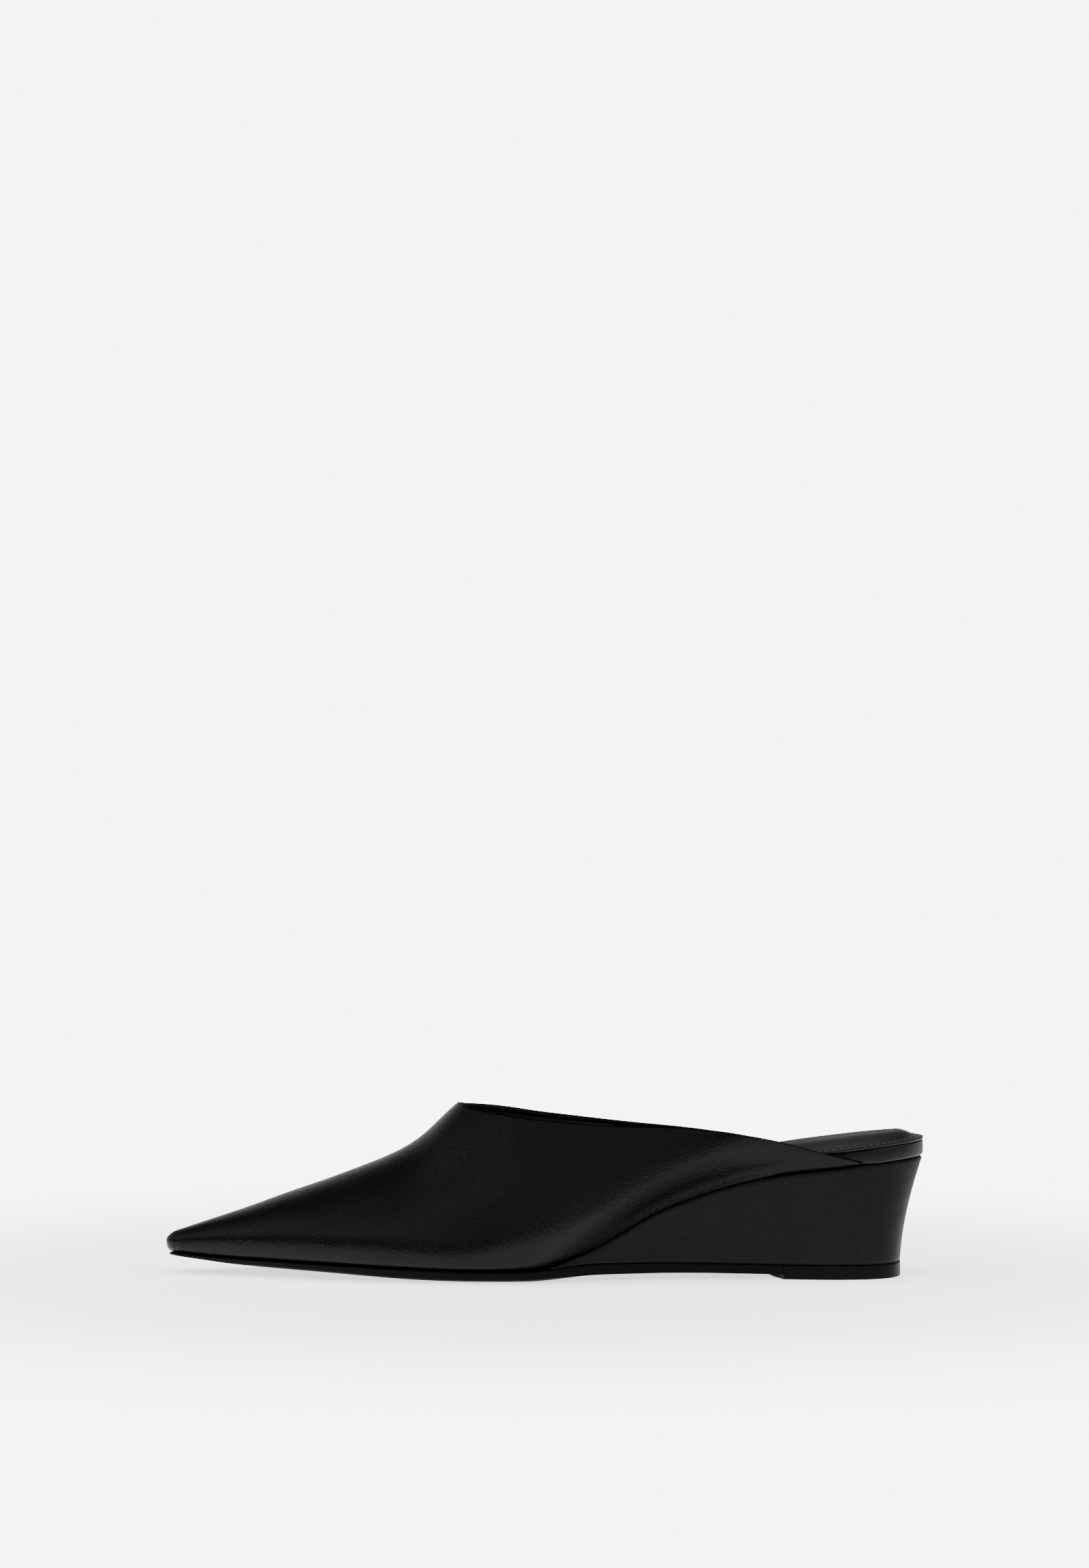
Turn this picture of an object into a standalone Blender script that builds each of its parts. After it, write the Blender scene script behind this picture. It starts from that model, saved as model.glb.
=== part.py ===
"""A left wedge mule standing on its sole.

The toe points to -X, the lateral side faces -Y and +Z is up. Every piece hangs on the feather line,
which is the edge where the upper turns under the insole. Tables hold shares of the named sizes.
"""
import math

import bmesh
import bpy
import numpy as np
from mathutils import Matrix

# Driving dimensions in metres
LENGTH = 0.2642
BALL_WIDTH = 0.0758
HEEL_WIDTH = 0.0590
TOE_HEIGHT = 0.0073
BALL_HEIGHT = 0.0041
HEEL_HEIGHT = 0.0415
INSTEP_HEIGHT = 0.0880
TOE_SPRING = 0.0062

# The upper
UPPER_WALL = 0.0016
LASTING_WALL = 0.0012
LASTING_MARGIN = 0.0070
TOE_BULGE = 0.0013
SIDE_BULGE = 0.0078
WALL_RISE = 0.0140
FEATHER_TUCK = 0.0020
TOE_NOSE = 0.0028
RIM_AT_WING_TIP = 0.0009
NOSE_RUN = 0.0168
MARGIN_EASE = 0.0060
WING_FADE = 0.0400
CROWDED_LENGTH = 0.0300
FOOT_ROW = 0.0022

# The footbed
BOARD_THICKNESS = 0.0034
SOCK_THICKNESS = 0.0010
SOCK_CROWN = 0.0022
WRAP_THICKNESS = 0.0011
BED_FRONT_GAP = 0.0075
WRAP_ROOM_LEAD = 0.0020
WRAP_ROOM_RUN = 0.0120
PLUG_BEVEL = 0.0010
SEAT_LEAD = 0.0010
SEAT_RUN = 0.0070
SEAT_STEP_START = 0.0005
SEAT_STEP_END = 0.0025

# The sole
OUTSOLE_LEDGE = 0.0004
OUTSOLE_EDGE_LIFT = 0.0014
TREAD_ROUNDING = 0.0075
ARCH_TOP = 0.0057
ARCH_UNDERSIDE = 0.0022
LIFT_THICKNESS = 0.0048
LIFT_BOW = 0.0050
SOLE_SEAM = 0.0008
WEDGE_INSET = 0.0005
WEDGE_SHOULDER = 0.0013
WEDGE_SHOULDER_INSET = 0.0012
WEDGE_FLARE = 0.0018
HEEL_PITCH_BACK = 0.0083
HEEL_BASE_CORNER = 0.0300
WEDGE_NOSE_HEIGHT = 0.0004
WEDGE_NOSE_RAMP = 0.0040
LEDGE_RUN = 0.0040
EDGE_LIFT_WIDTH = 0.0300
ARCH_DROP = 0.0005
SEAM_ROOM = 0.0030
BOW_RUN = 0.0120

CLEARANCE = 0.0003
BED_CLEARANCE = 0.0005
NUDGE = 0.0005

# Where things start along the shoe, as shares of LENGTH from the toe
THROAT = 0.3845
LATERAL_WING_END = 0.9137
MEDIAL_WING_END = 0.8675
WRAP_START = 0.8000
WEDGE_START = 0.5080
OUTSOLE_END = 0.8105
HEEL_WIDEST = 0.8840

# Runs along the shoe over which something grows, as shares of LENGTH
PLUG_RUN = (0.1000, 0.1400)
CROWN_RUN = (0.6000, 0.8000)
CROWN_END_RUN = (0.9650, 0.9980)
BASE_RUN = (0.4600, 0.5600)
BASE_FLARE_RUN = (WEDGE_START, 0.7000)
ARCH_TOP_RUN = (0.4750, 0.5700)
LIFT_LEVEL_RUN = (0.5800, OUTSOLE_END)
ARCH_RUN = (0.4750, 0.6000)
ARCH_DROP_RUN = (0.6500, OUTSOLE_END)
EDGE_FLAT_RUN = (0.5000, 0.6000)
SEAM_BOW_RUN = (0.7000, OUTSOLE_END)

# Proportions
WALL_HANDLE = 0.50
TUCK_LIMIT = 0.40
MARGIN_LIMIT = 0.60
WING_THINNING = 0.30
PLUG_SIDE_LIMIT = 0.40
BEVEL_LIMIT = 0.04
TREAD_ROUNDING_LIMIT = 0.25
SHOULDER_LIMIT = 0.30
BASE_POWER = 3.2
WEDGE_CURVE = 1.6

# Places across the sock, and between which of them its crown rises, as shares of its width and half width
SOCK_SHARES = (0, 0.05, 0.14, 0.28, 0.50, 0.72, 0.86, 0.95, 1)
CROWN_ACROSS = (0.10, 0.75)

# The feather line in plan: share of LENGTH, then shares of BALL_WIDTH out to each side
FOREPART = (
    # along, lateral, medial
    (0.0087, 0.031, 0.031),
    (0.0200, 0.060, 0.058),
    (0.0530, 0.112, 0.106),
    (0.1440, 0.264, 0.244),
    (0.2350, 0.389, 0.369),
    (0.3260, 0.475, 0.449),
    (0.4130, 0.514, 0.481),
    (0.4660, 0.518, 0.455),
    (0.5190, 0.470, 0.366),
    (0.5870, 0.404, 0.284),
)

# The same behind the waist, with shares of HEEL_WIDTH
HEELPART = (
    # along, lateral, medial
    (0.6620, 0.454, 0.334),
    (0.7500, 0.438, 0.380),
    (0.8180, 0.466, 0.448),
    (0.8840, 0.500, 0.500),
    (0.9280, 0.456, 0.461),
    (0.9660, 0.345, 0.348),
    (0.9870, 0.222, 0.222),
)

# Toe spring: shares of LENGTH, of the feather's rise to TOE_HEIGHT and of the underside's rise to TOE_SPRING
SPRING = (
    # along, feather, underside
    (0.0050, 1.00, 1.00),
    (0.0530, 0.74, 0.80),
    (0.1460, 0.55, 0.58),
    (0.2370, 0.37, 0.36),
    (0.3260, 0.15, 0.10),
    (0.4000, 0.00, 0.00),
    (0.4600, 0.00, 0.00),
)

# Heel pitch: shares of LENGTH and of the rise from BALL_HEIGHT to HEEL_HEIGHT
PITCH = (
    # along, rise
    (0.4300, 0.000),
    (0.4660, 0.002),
    (0.4990, 0.018),
    (0.5450, 0.126),
    (0.5850, 0.262),
    (0.6380, 0.479),
    (0.6910, 0.634),
    (0.7510, 0.767),
    (0.8180, 0.861),
    (0.8840, 0.920),
    (0.9520, 0.973),
    (1.0000, 1.000),
)

# Top of the last: shares of LENGTH, of INSTEP_HEIGHT, and of BALL_WIDTH towards the medial side
RIDGE = (
    # along, height, medial
    (0.0148, 0.166, 0.000),
    (0.0510, 0.202, 0.008),
    (0.1050, 0.255, 0.018),
    (0.1590, 0.313, 0.030),
    (0.2130, 0.368, 0.042),
    (0.2670, 0.428, 0.052),
    (0.3030, 0.474, 0.058),
    (0.3390, 0.542, 0.064),
    (0.3660, 0.618, 0.068),
    (0.3845, 0.668, 0.070),
    (0.4320, 0.768, 0.072),
    (0.4660, 0.838, 0.070),
    (0.5000, 0.886, 0.066),
    (0.5910, 0.955, 0.050),
    (0.6820, 1.000, 0.030),
    (1.0000, 1.010, 0.000),
)

# Shape of the sections: share of LENGTH, of WALL_RISE and of the bulge, and the handles of both curves.
# The last column is how far the wall stands straight up at its foot, as a share of its rise.
SECTIONS = (
    # along, rise, bulge, flank, crown, foot, stand
    (0.0050, 0.25, 0.00, 0.56, 0.56, 0.72, 0.00),
    (0.0530, 0.38, 0.13, 0.56, 0.54, 0.70, 0.00),
    (0.1260, 0.46, 0.19, 0.55, 0.52, 0.66, 0.00),
    (0.2200, 0.46, 0.23, 0.52, 0.49, 0.66, 0.00),
    (0.3200, 0.41, 0.23, 0.47, 0.43, 0.70, 0.00),
    (0.3900, 0.42, 0.25, 0.43, 0.38, 0.70, 0.00),
    (0.4350, 0.62, 0.36, 0.41, 0.36, 0.66, 0.00),
    (0.4850, 0.90, 0.62, 0.40, 0.34, 0.46, 0.06),
    (0.5400, 1.06, 0.88, 0.40, 0.34, 0.20, 0.22),
    (0.6400, 1.14, 1.00, 0.40, 0.34, 0.06, 0.30),
    (0.7200, 1.22, 0.86, 0.41, 0.34, 0.06, 0.30),
    (0.7900, 1.24, 0.52, 0.42, 0.34, 0.22, 0.20),
    (0.8400, 1.18, 0.28, 0.43, 0.34, 0.54, 0.05),
    (0.9200, 1.05, 0.02, 0.44, 0.34, 0.70, 0.00),
)

# Topline: share of the way from the throat to the wing's end, and of the drop between them, on each side
TOPLINE = (
    # back, lateral, medial
    (0.00, 0.000, 0.000),
    (0.09, 0.080, 0.065),
    (0.20, 0.162, 0.172),
    (0.30, 0.225, 0.250),
    (0.45, 0.287, 0.362),
    (0.60, 0.343, 0.468),
    (0.70, 0.445, 0.550),
    (0.80, 0.602, 0.662),
    (0.90, 0.800, 0.800),
    (1.00, 1.000, 1.000),
)

# Cross-sections that every piece shares: where each run of them ends, how many, and where they crowd
RUNS = (
    # end, steps, crowd
    (THROAT, 18, "start"),
    (WEDGE_START, 8, "start"),
    (MEDIAL_WING_END, 15, "none"),
    (LATERAL_WING_END, 2, "none"),
    (1.0, 8, "end"),
)

# Mesh density
SECTION_ROWS = 13
ROW_CROWDING = 1.65
SAMPLES = 64
WEDGE_LEVELS = 7
LIFT_SECTIONS = 14
OUTLINE_POINTS = 4000
OUTLINE_OVERLAP = 4

# Colours
UPPER_BLACK = (0.018, 0.018, 0.019)
SOCK_BLACK = (0.016, 0.016, 0.017)
WRAP_BLACK = (0.020, 0.020, 0.021)
WEDGE_BLACK = (0.045, 0.045, 0.046)
SOLE_BLACK = (0.030, 0.030, 0.030)
BOARD_BROWN = (0.300, 0.230, 0.160)

LATERAL = -1
MEDIAL = 1
TIP = -LENGTH / 2 + TOE_BULGE
REAR = LENGTH / 2


def place(share):
    """X of a share of the length from the toe."""
    return (share - 0.5) * LENGTH


def spline(xs, ys, at):
    """Natural cubic spline through the points, with straight ends."""
    xs = np.asarray(xs, float)
    ys = np.asarray(ys, float)
    count = len(xs)
    step = np.diff(xs)
    slope = np.diff(ys) / step
    system = np.eye(count)
    right = np.zeros(count)
    for i in range(1, count - 1):
        system[i, i - 1:i + 2] = (step[i - 1], 2 * (step[i - 1] + step[i]), step[i])
        right[i] = 6 * (slope[i] - slope[i - 1])
    bend = np.linalg.solve(system, right)
    at = np.clip(at, xs[0], xs[-1])
    k = np.clip(np.searchsorted(xs, at) - 1, 0, count - 2)
    u = at - xs[k]
    first = slope[k] - step[k] * (2 * bend[k] + bend[k + 1]) / 6
    return ys[k] + first * u + bend[k] * u ** 2 / 2 + (bend[k + 1] - bend[k]) * u ** 3 / (6 * step[k])


def column(table, index, x):
    """One column of a table at X, by its share of the length."""
    rows = np.array(table)
    return spline(rows[:, 0], rows[:, index], np.asarray(x) / LENGTH + 0.5)


def ease(value, start, end):
    """Smooth step from 0 at start to 1 at end."""
    u = np.clip((np.asarray(value) - start) / (end - start), 0, 1)
    return u * u * (3 - 2 * u)


def grown(x, run):
    """Smooth step along the shoe over a run of shares of the length."""
    return ease(x, place(run[0]), place(run[1]))


def stations():
    """X of the shared cross-sections from the toe tip to the back of the heel."""
    xs = [TIP]
    for end, steps, crowd in RUNS:
        q = np.arange(1, steps + 1) / steps
        if crowd == "start":
            q = 1 - np.cos(math.pi * q / 2)
        if crowd == "end":
            q = np.sin(math.pi * q / 2)
        start = xs[-1]
        xs += list(start + (place(end) - start) * q)
    xs[-1] = REAR
    return np.array(xs)


def feather_outline():
    """Dense half outlines of the feather line, one smooth closed curve through the rows."""
    rows = [(place(a), lat * BALL_WIDTH, med * BALL_WIDTH) for a, lat, med in FOREPART]
    rows += [(place(a), lat * HEEL_WIDTH, med * HEEL_WIDTH) for a, lat, med in HEELPART]
    loop = [(TIP, 0.0)]
    loop += [(x, -lat) for x, lat, med in rows]
    loop += [(REAR, 0.0)]
    loop += [(x, med) for x, lat, med in reversed(rows)]
    extra = OUTLINE_OVERLAP
    points = np.array(loop[-extra:] + loop + loop[:extra + 1])
    chord = np.append(0, np.cumsum(np.hypot(*np.diff(points, axis=0).T)))
    marks = chord[extra], chord[extra + len(rows) + 1], chord[extra + len(loop)]
    halves = {}
    for side, start, end in ((LATERAL, marks[0], marks[1]), (MEDIAL, marks[2], marks[1])):
        along = np.linspace(start, end, OUTLINE_POINTS)
        xs = np.minimum(np.maximum.accumulate(spline(chord, points[:, 0], along)), REAR)
        ys = np.abs(spline(chord, points[:, 1], along))
        xs[-1] = REAR
        ys[-1] = 0
        halves[side] = xs, ys
    return halves


OUTLINE = feather_outline()


def half_width(side, x):
    """Distance of the feather line from the axis."""
    xs, ys = OUTLINE[side]
    return np.interp(x, xs, ys)


def feather(x):
    """Height of the feather line."""
    spring = np.where(np.asarray(x) < place(SPRING[-1][0]), column(SPRING, 1, x), 0)
    pitch = np.where(np.asarray(x) > place(PITCH[0][0]), column(PITCH, 1, x), 0)
    return BALL_HEIGHT + spring * (TOE_HEIGHT - BALL_HEIGHT) + pitch * (HEEL_HEIGHT - BALL_HEIGHT)


def ridge(x):
    """Point on top of the last."""
    return np.array([x, column(RIDGE, 2, x) * BALL_WIDTH, column(RIDGE, 1, x) * INSTEP_HEIGHT])


def nose_lead(x):
    """How far the top of a section lies behind its foot, which fans the sections round the toe."""
    return 2 * TOE_NOSE * (1 - ease(x, TIP - NOSE_RUN, TIP + NOSE_RUN))


def wing_end(side):
    """X of the back of a wing."""
    return place(LATERAL_WING_END if side == LATERAL else MEDIAL_WING_END)


def topline(side, x):
    """Height of the topline behind the throat."""
    top = ridge(place(THROAT))[2]
    bottom = feather(wing_end(side)) + RIM_AT_WING_TIP
    back = (x - place(THROAT)) / (wing_end(side) - place(THROAT))
    rows = np.array(TOPLINE)
    drop = spline(rows[:, 0], rows[:, 1 if side == LATERAL else 2], back)
    return top - drop * (top - bottom)


def section(side, x):
    """Frame and profile of the upper at the feather point X: foot, outward direction, slope, reach and rise.

    Reach is counted outward from the feather line, and rise from its height, up to the ridge.
    """
    foot = np.array([x, side * half_width(side, x), feather(x)])
    top = ridge(x + nose_lead(x))
    out = foot[:2] - top[:2]
    width = max(np.hypot(*out), NUDGE / 1000)
    out = out / width
    bulge = TOE_BULGE + column(SECTIONS, 2, x) * (SIDE_BULGE - TOE_BULGE)
    rise = column(SECTIONS, 1, x) * WALL_RISE
    tuck = min(FEATHER_TUCK, TUCK_LIMIT * width)
    height = top[2] - foot[2]
    depth = width + bulge
    flank = column(SECTIONS, 3, x) * (height - rise)
    crown = column(SECTIONS, 4, x) * depth
    foot_end = column(SECTIONS, 5, x) * (bulge + tuck) - tuck
    stand = column(SECTIONS, 6, x) * rise
    t = np.linspace(0, 1, SAMPLES)[:, None]
    weights = np.hstack([(1 - t) ** 3, 3 * t * (1 - t) ** 2, 3 * t ** 2 * (1 - t), t ** 3])
    low = np.array([(-tuck, 0), (foot_end, stand), (bulge, WALL_HANDLE * rise), (bulge, rise)])
    high = np.array([(bulge, rise), (bulge, rise + flank), (crown - width, height), (-width, height)])
    profile = np.vstack([weights @ low, (weights @ high)[1:]])
    slope = (ridge(top[0] + NUDGE)[2] - ridge(top[0] - NUDGE)[2]) / (2 * NUDGE)
    lean = slope * out[0] * ease(profile[:, 1], rise, height) * (profile[:, 0] + width)
    profile[:, 1] += lean
    return foot, out, profile, width


def wall(side, x, walked):
    """Thickness of the upper, thin at the lasting margin and towards the wing's end."""
    body = LASTING_WALL + (UPPER_WALL - LASTING_WALL) * ease(walked, 0, MARGIN_EASE)
    return body * (1 - WING_THINNING * ease(x, wing_end(side) - WING_FADE, wing_end(side)))


def cut_profile(side, x):
    """The profile up to the ridge, or up to the topline behind the throat."""
    foot, out, profile, width = section(side, x)
    if x > place(THROAT) + 1e-6:
        limit = topline(side, x) - foot[2]
        reach = np.interp(limit, profile[:, 1], profile[:, 0])
        profile = np.vstack([profile[profile[:, 1] < limit - 1e-6], (reach, limit)])
    return foot, out, profile, width


def slant(side, x, out):
    """How much longer a wall's thickness is when it is measured in a section that crosses it at a slant."""
    slope = (half_width(side, x + NUDGE) - half_width(side, x - NUDGE)) / (2 * NUDGE)
    along = (out[0] + out[1] * side * slope) / math.hypot(1, slope)
    return 1 / math.sqrt(max(1 - along ** 2, 0.4))


def inside_reach(side, x, rise):
    """How far from the feather line the inner face of the wall lies at a rise over it."""
    foot, out, profile, width = section(side, x)
    walked = np.append(0, np.cumsum(np.hypot(*np.diff(profile, axis=0).T)))
    run = np.gradient(profile, axis=0)
    run /= np.linalg.norm(run, axis=1)[:, None]
    thick = wall(side, x, walked) * slant(side, x, out)
    inner = profile + np.column_stack([-run[:, 1], run[:, 0]]) * thick[:, None]
    rising = np.maximum.accumulate(inner[:, 1])
    return np.interp(rise, rising, inner[:, 0])


def upper_column(side, x):
    """Points of one section from the lasting margin to the ridge or topline, and the wall there."""
    foot, out, profile, width = cut_profile(side, x)
    walked = np.append(0, np.cumsum(np.hypot(*np.diff(profile, axis=0).T)))
    crowding = 1 + (ROW_CROWDING - 1) * ease(walked[-1], 0, CROWDED_LENGTH)
    first = min(FOOT_ROW, walked[-1] / SECTION_ROWS)
    shares = (np.arange(SECTION_ROWS) / (SECTION_ROWS - 1)) ** crowding
    marks = np.append(0, first + (walked[-1] - first) * shares)
    reach = np.interp(marks, walked, profile[:, 0])
    rise = np.interp(marks, walked, profile[:, 1])
    margin = min(LASTING_MARGIN, MARGIN_LIMIT * width)
    reach = np.append(-margin, reach)
    rise = np.append(0, rise)
    marks = np.append(0, marks)
    points = np.column_stack([foot[0] + out[0] * reach, foot[1] + out[1] * reach, foot[2] + rise])
    points[0, 2] = feather(points[0, 0])
    return points, wall(side, x, marks)


def upper_stations(side):
    """X of the sections of one side of the upper."""
    xs = stations()
    return xs[xs < wing_end(side) + 1e-6]


def make_object(name, verts, faces, colour, roughness):
    """Mesh object with merged points, outward faces, soft shading and its own material."""
    bm = bmesh.new()
    points = [bm.verts.new(v) for v in verts]
    for face in faces:
        corners = list(dict.fromkeys(face))
        if len(corners) > 2:
            bm.faces.new([points[i] for i in corners])
    bmesh.ops.remove_doubles(bm, verts=bm.verts, dist=2e-6)
    bmesh.ops.dissolve_degenerate(bm, edges=bm.edges, dist=1e-6)
    bmesh.ops.triangulate(bm, faces=bm.faces)
    bmesh.ops.recalc_face_normals(bm, faces=bm.faces)
    mesh = bpy.data.meshes.new(name)
    bm.to_mesh(mesh)
    bm.free()
    mesh.shade_smooth()
    mesh.set_sharp_from_angle(angle=math.radians(40))
    obj = bpy.data.objects.new(name, mesh)
    bpy.context.scene.collection.objects.link(obj)
    material = bpy.data.materials.new(name)
    material.use_nodes = True
    surface = material.node_tree.nodes["Principled BSDF"]
    surface.inputs["Base Color"].default_value = (*colour, 1)
    surface.inputs["Roughness"].default_value = roughness
    surface.inputs["Metallic"].default_value = 0
    mesh.materials.append(material)
    return obj


def loft(name, rings, colour, roughness, first_cap=True, last_cap=True):
    """Solid through closed rings of points."""
    rings = np.array(rings)
    count, size = rings.shape[:2]
    faces = []
    for i in range(count - 1):
        for j in range(size):
            k = (j + 1) % size
            faces.append((i * size + j, i * size + k, (i + 1) * size + k, (i + 1) * size + j))
    if first_cap:
        faces.append(tuple(range(size)))
    if last_cap:
        faces.append(tuple((count - 1) * size + j for j in range(size)))
    return make_object(name, rings.reshape(-1, 3), faces, colour, roughness)


def make_upper():
    """Vamp and wings as one shell: an outer sheet, an inner one a wall away, and a rim between them."""
    sides = {}
    for side in (LATERAL, MEDIAL):
        columns = [upper_column(side, x) for x in upper_stations(side)]
        sides[side] = np.array([c[0] for c in columns]), np.array([c[1] for c in columns])
    sheet = np.concatenate([sides[LATERAL][0][::-1], sides[MEDIAL][0][1:]])
    thick = np.concatenate([sides[LATERAL][1][::-1], sides[MEDIAL][1][1:]])
    tip = len(upper_stations(LATERAL)) - 1
    vamp = RUNS[0][1]
    normals = np.cross(np.gradient(sheet, axis=1), np.gradient(sheet, axis=0))
    for i in range(tip - vamp, tip + vamp + 1):
        x = sheet[i, -1, 0]
        normals[i, -1] = (ridge(x - NUDGE)[2] - ridge(x + NUDGE)[2], 0, 2 * NUDGE)
    normals[:, :2] = (0, 0, -1)
    normals /= np.linalg.norm(normals, axis=2)[:, :, None]
    inner = sheet - normals * thick[:, :, None]
    count, size = sheet.shape[:2]
    last = count * size
    faces = []
    for i in range(count - 1):
        for j in range(size - 1):
            a = i * size + j
            quad = (a, a + 1, a + size + 1, a + size)
            faces.append(quad)
            faces.append(tuple(last + k for k in reversed(quad)))
    lateral_rim = list(range(size))
    lateral_rim += [i * size + size - 1 for i in range(1, tip - vamp + 1)]
    medial_rim = [(count - 1) * size + j for j in range(size)]
    medial_rim += [i * size + size - 1 for i in range(count - 2, tip + vamp - 1, -1)]
    margin = [i * size for i in range(count)]
    for edge in (lateral_rim, medial_rim, margin):
        for a, b in zip(edge, edge[1:]):
            faces.append((a, b, last + b, last + a))
    points = np.concatenate([sheet.reshape(-1, 3), inner.reshape(-1, 3)])
    return make_object("upper", points, faces, UPPER_BLACK, 0.42)


def bed_outline(side, xs, low, high):
    """Edge of a layer of the footbed between two rises: inside the wings, and out to the seat behind."""
    points = []
    for x in xs:
        foot, out, profile, width = section(side, x)
        inside = min(inside_reach(side, x, low), inside_reach(side, x, high)) - BED_CLEARANCE
        reach = inside * (1 - ease(x, wing_end(side) - SEAT_LEAD, wing_end(side) + SEAT_RUN))
        points.append((foot[0] + out[0] * reach, foot[1] + out[1] * reach))
    return np.array(points)


def draw_in(lateral, medial, amount):
    """The two halves of an outline moved inward along its normals."""
    path = np.concatenate([lateral, medial[-2::-1]])
    amount = np.concatenate([amount, amount[-2::-1]])
    tangent = np.gradient(path, axis=0)
    tangent /= np.linalg.norm(tangent, axis=1)[:, None]
    path = path + np.column_stack([-tangent[:, 1], tangent[:, 0]]) * amount[:, None]
    return path[:len(lateral)], path[:len(lateral) - 2:-1]


def bed_stations():
    """X of the sections of the footbed, from just behind the toe tip."""
    xs = stations()
    return xs[xs > TIP + BED_FRONT_GAP]


BOARD_BOTTOM = LASTING_WALL + 1.5 * CLEARANCE
BOARD_SEAT = LASTING_WALL + 0.5 * CLEARANCE
BOARD_TOP = BOARD_BOTTOM + BOARD_THICKNESS
SOCK_BOTTOM = BOARD_TOP + CLEARANCE
SOCK_EDGE_TOP = SOCK_BOTTOM + SOCK_THICKNESS


def cross_row(left, right, shares):
    """Points between two edge points at the given shares of the width."""
    return np.array([left + (right - left) * s for s in shares])


def behind_wings(x):
    """Smooth step from 0 to 1 behind the lateral wing, where the footbed meets the wedge."""
    return ease(x, wing_end(LATERAL) + SEAT_STEP_START, wing_end(LATERAL) + SEAT_STEP_END)


def make_board():
    """Insole: a flat board on the lasting margin, with its middle filling the opening down to the sole."""
    xs = bed_stations()
    left, right = (bed_outline(side, xs, BOARD_SEAT, BOARD_TOP) for side in (LATERAL, MEDIAL))
    start = place(WRAP_START)
    band = (WRAP_THICKNESS + CLEARANCE) * ease(xs, start - WRAP_ROOM_RUN, start - WRAP_ROOM_LEAD)
    left, right = draw_in(left, right, band)
    rings = []
    for i, x in enumerate(xs):
        span = right[i, 1] - left[i, 1]
        step = LASTING_MARGIN + 2 * CLEARANCE
        near = max((-half_width(LATERAL, x) + step - left[i, 1]) / max(span, 1e-6), 0)
        far = max((right[i, 1] - half_width(MEDIAL, x) + step) / max(span, 1e-6), 0)
        near = min(near, PLUG_SIDE_LIMIT)
        far = min(far, PLUG_SIDE_LIMIT)
        bevel = min(PLUG_BEVEL / max(span, 1e-6), BEVEL_LIMIT)
        across = cross_row(left[i], right[i], (0, near, near + bevel, 1 - far - bevel, 1 - far, 1))
        base = feather(across[:, 0])
        seat = behind_wings(x)
        plug = max(grown(x, PLUG_RUN), seat)
        low = BOARD_BOTTOM * (1 - np.array([seat, seat, plug, plug, seat, seat]))
        top = [(*across[k], base[k] + BOARD_TOP) for k in (0, 5)]
        under = [(*across[k], base[k] + low[k]) for k in (5, 4, 3, 2, 1, 0)]
        rings.append(top + under)
    return loft("insole_board", rings, BOARD_BROWN, 0.8, True, False)


def sock_height(x, share):
    """Top of the sock over the feather line: crowned over the seat, level at its stitched edge."""
    flat = np.minimum(share, 1 - share) * 2
    crown = ease(flat, *CROWN_ACROSS) * grown(x, CROWN_RUN) * (1 - grown(x, CROWN_END_RUN))
    return SOCK_EDGE_TOP + SOCK_CROWN * crown


def make_sock():
    """Padded sock over the insole."""
    xs = bed_stations()
    edges = {side: bed_outline(side, xs, SOCK_BOTTOM, SOCK_EDGE_TOP) for side in (LATERAL, MEDIAL)}
    shares = np.array(SOCK_SHARES)
    middle = len(shares) // 2
    rings = []
    for i in range(len(xs)):
        across = cross_row(edges[LATERAL][i], edges[MEDIAL][i], shares)
        base = feather(across[:, 0])
        top = [(*p, b + sock_height(p[0], s)) for p, b, s in zip(across, base, shares)]
        under = [(*across[k], base[k] + SOCK_BOTTOM) for k in (-1, middle, 0)]
        rings.append(top + under)
    return loft("sock", rings, SOCK_BLACK, 0.5, True, False)


def make_wrap():
    """Strip of leather round the edge of the insole at the heel."""
    xs = stations()
    xs = xs[xs > place(WRAP_START) - 1e-6]
    left, right = (bed_outline(side, xs, BOARD_SEAT, BOARD_TOP) for side in (LATERAL, MEDIAL))
    inner_left, inner_right = draw_in(left, right, np.full(len(xs), WRAP_THICKNESS))
    outer = np.concatenate([left, right[-2::-1]])
    inner = np.concatenate([inner_left, inner_right[-2::-1]])
    rings = []
    for x, face, back in zip(np.concatenate([xs, xs[-2::-1]]), outer, inner):
        low = BOARD_BOTTOM * (1 - behind_wings(x))
        rings.append(((*face, feather(face[0]) + low), (*face, feather(face[0]) + BOARD_TOP),
                      (*back, feather(back[0]) + BOARD_TOP), (*back, feather(back[0]) + low)))
    return loft("insole_wrap", rings, WRAP_BLACK, 0.45)


def base_half(side, x):
    """Half outline of the bottom of the wedge: the feather line drawn in, with a flat back."""
    back = place(1.0) - HEEL_PITCH_BACK
    start = back - HEEL_BASE_CORNER
    half = half_width(side, np.minimum(x, place(HEEL_WIDEST))) - WEDGE_FLARE * grown(x, BASE_FLARE_RUN)
    u = np.clip((x - start) / HEEL_BASE_CORNER, 0, 1)
    return half * (1 - u ** BASE_POWER) ** (1 / BASE_POWER)


def sole_top(x):
    """Height of the upper face of the outsole: under the feather line, then level under the wedge."""
    nose = place(WEDGE_START)
    room = (CLEARANCE + WEDGE_NOSE_HEIGHT) * ease(x, nose - WEDGE_NOSE_RAMP, nose - CLEARANCE)
    seat = feather(x) - CLEARANCE - room
    start = BALL_HEIGHT - CLEARANCE
    level = start + (ARCH_TOP - start) * grown(x, ARCH_TOP_RUN)
    level += (LIFT_THICKNESS - ARCH_TOP) * grown(x, LIFT_LEVEL_RUN)
    return np.where(x < place(SPRING[-1][0]), seat, np.minimum(seat, level))


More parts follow.
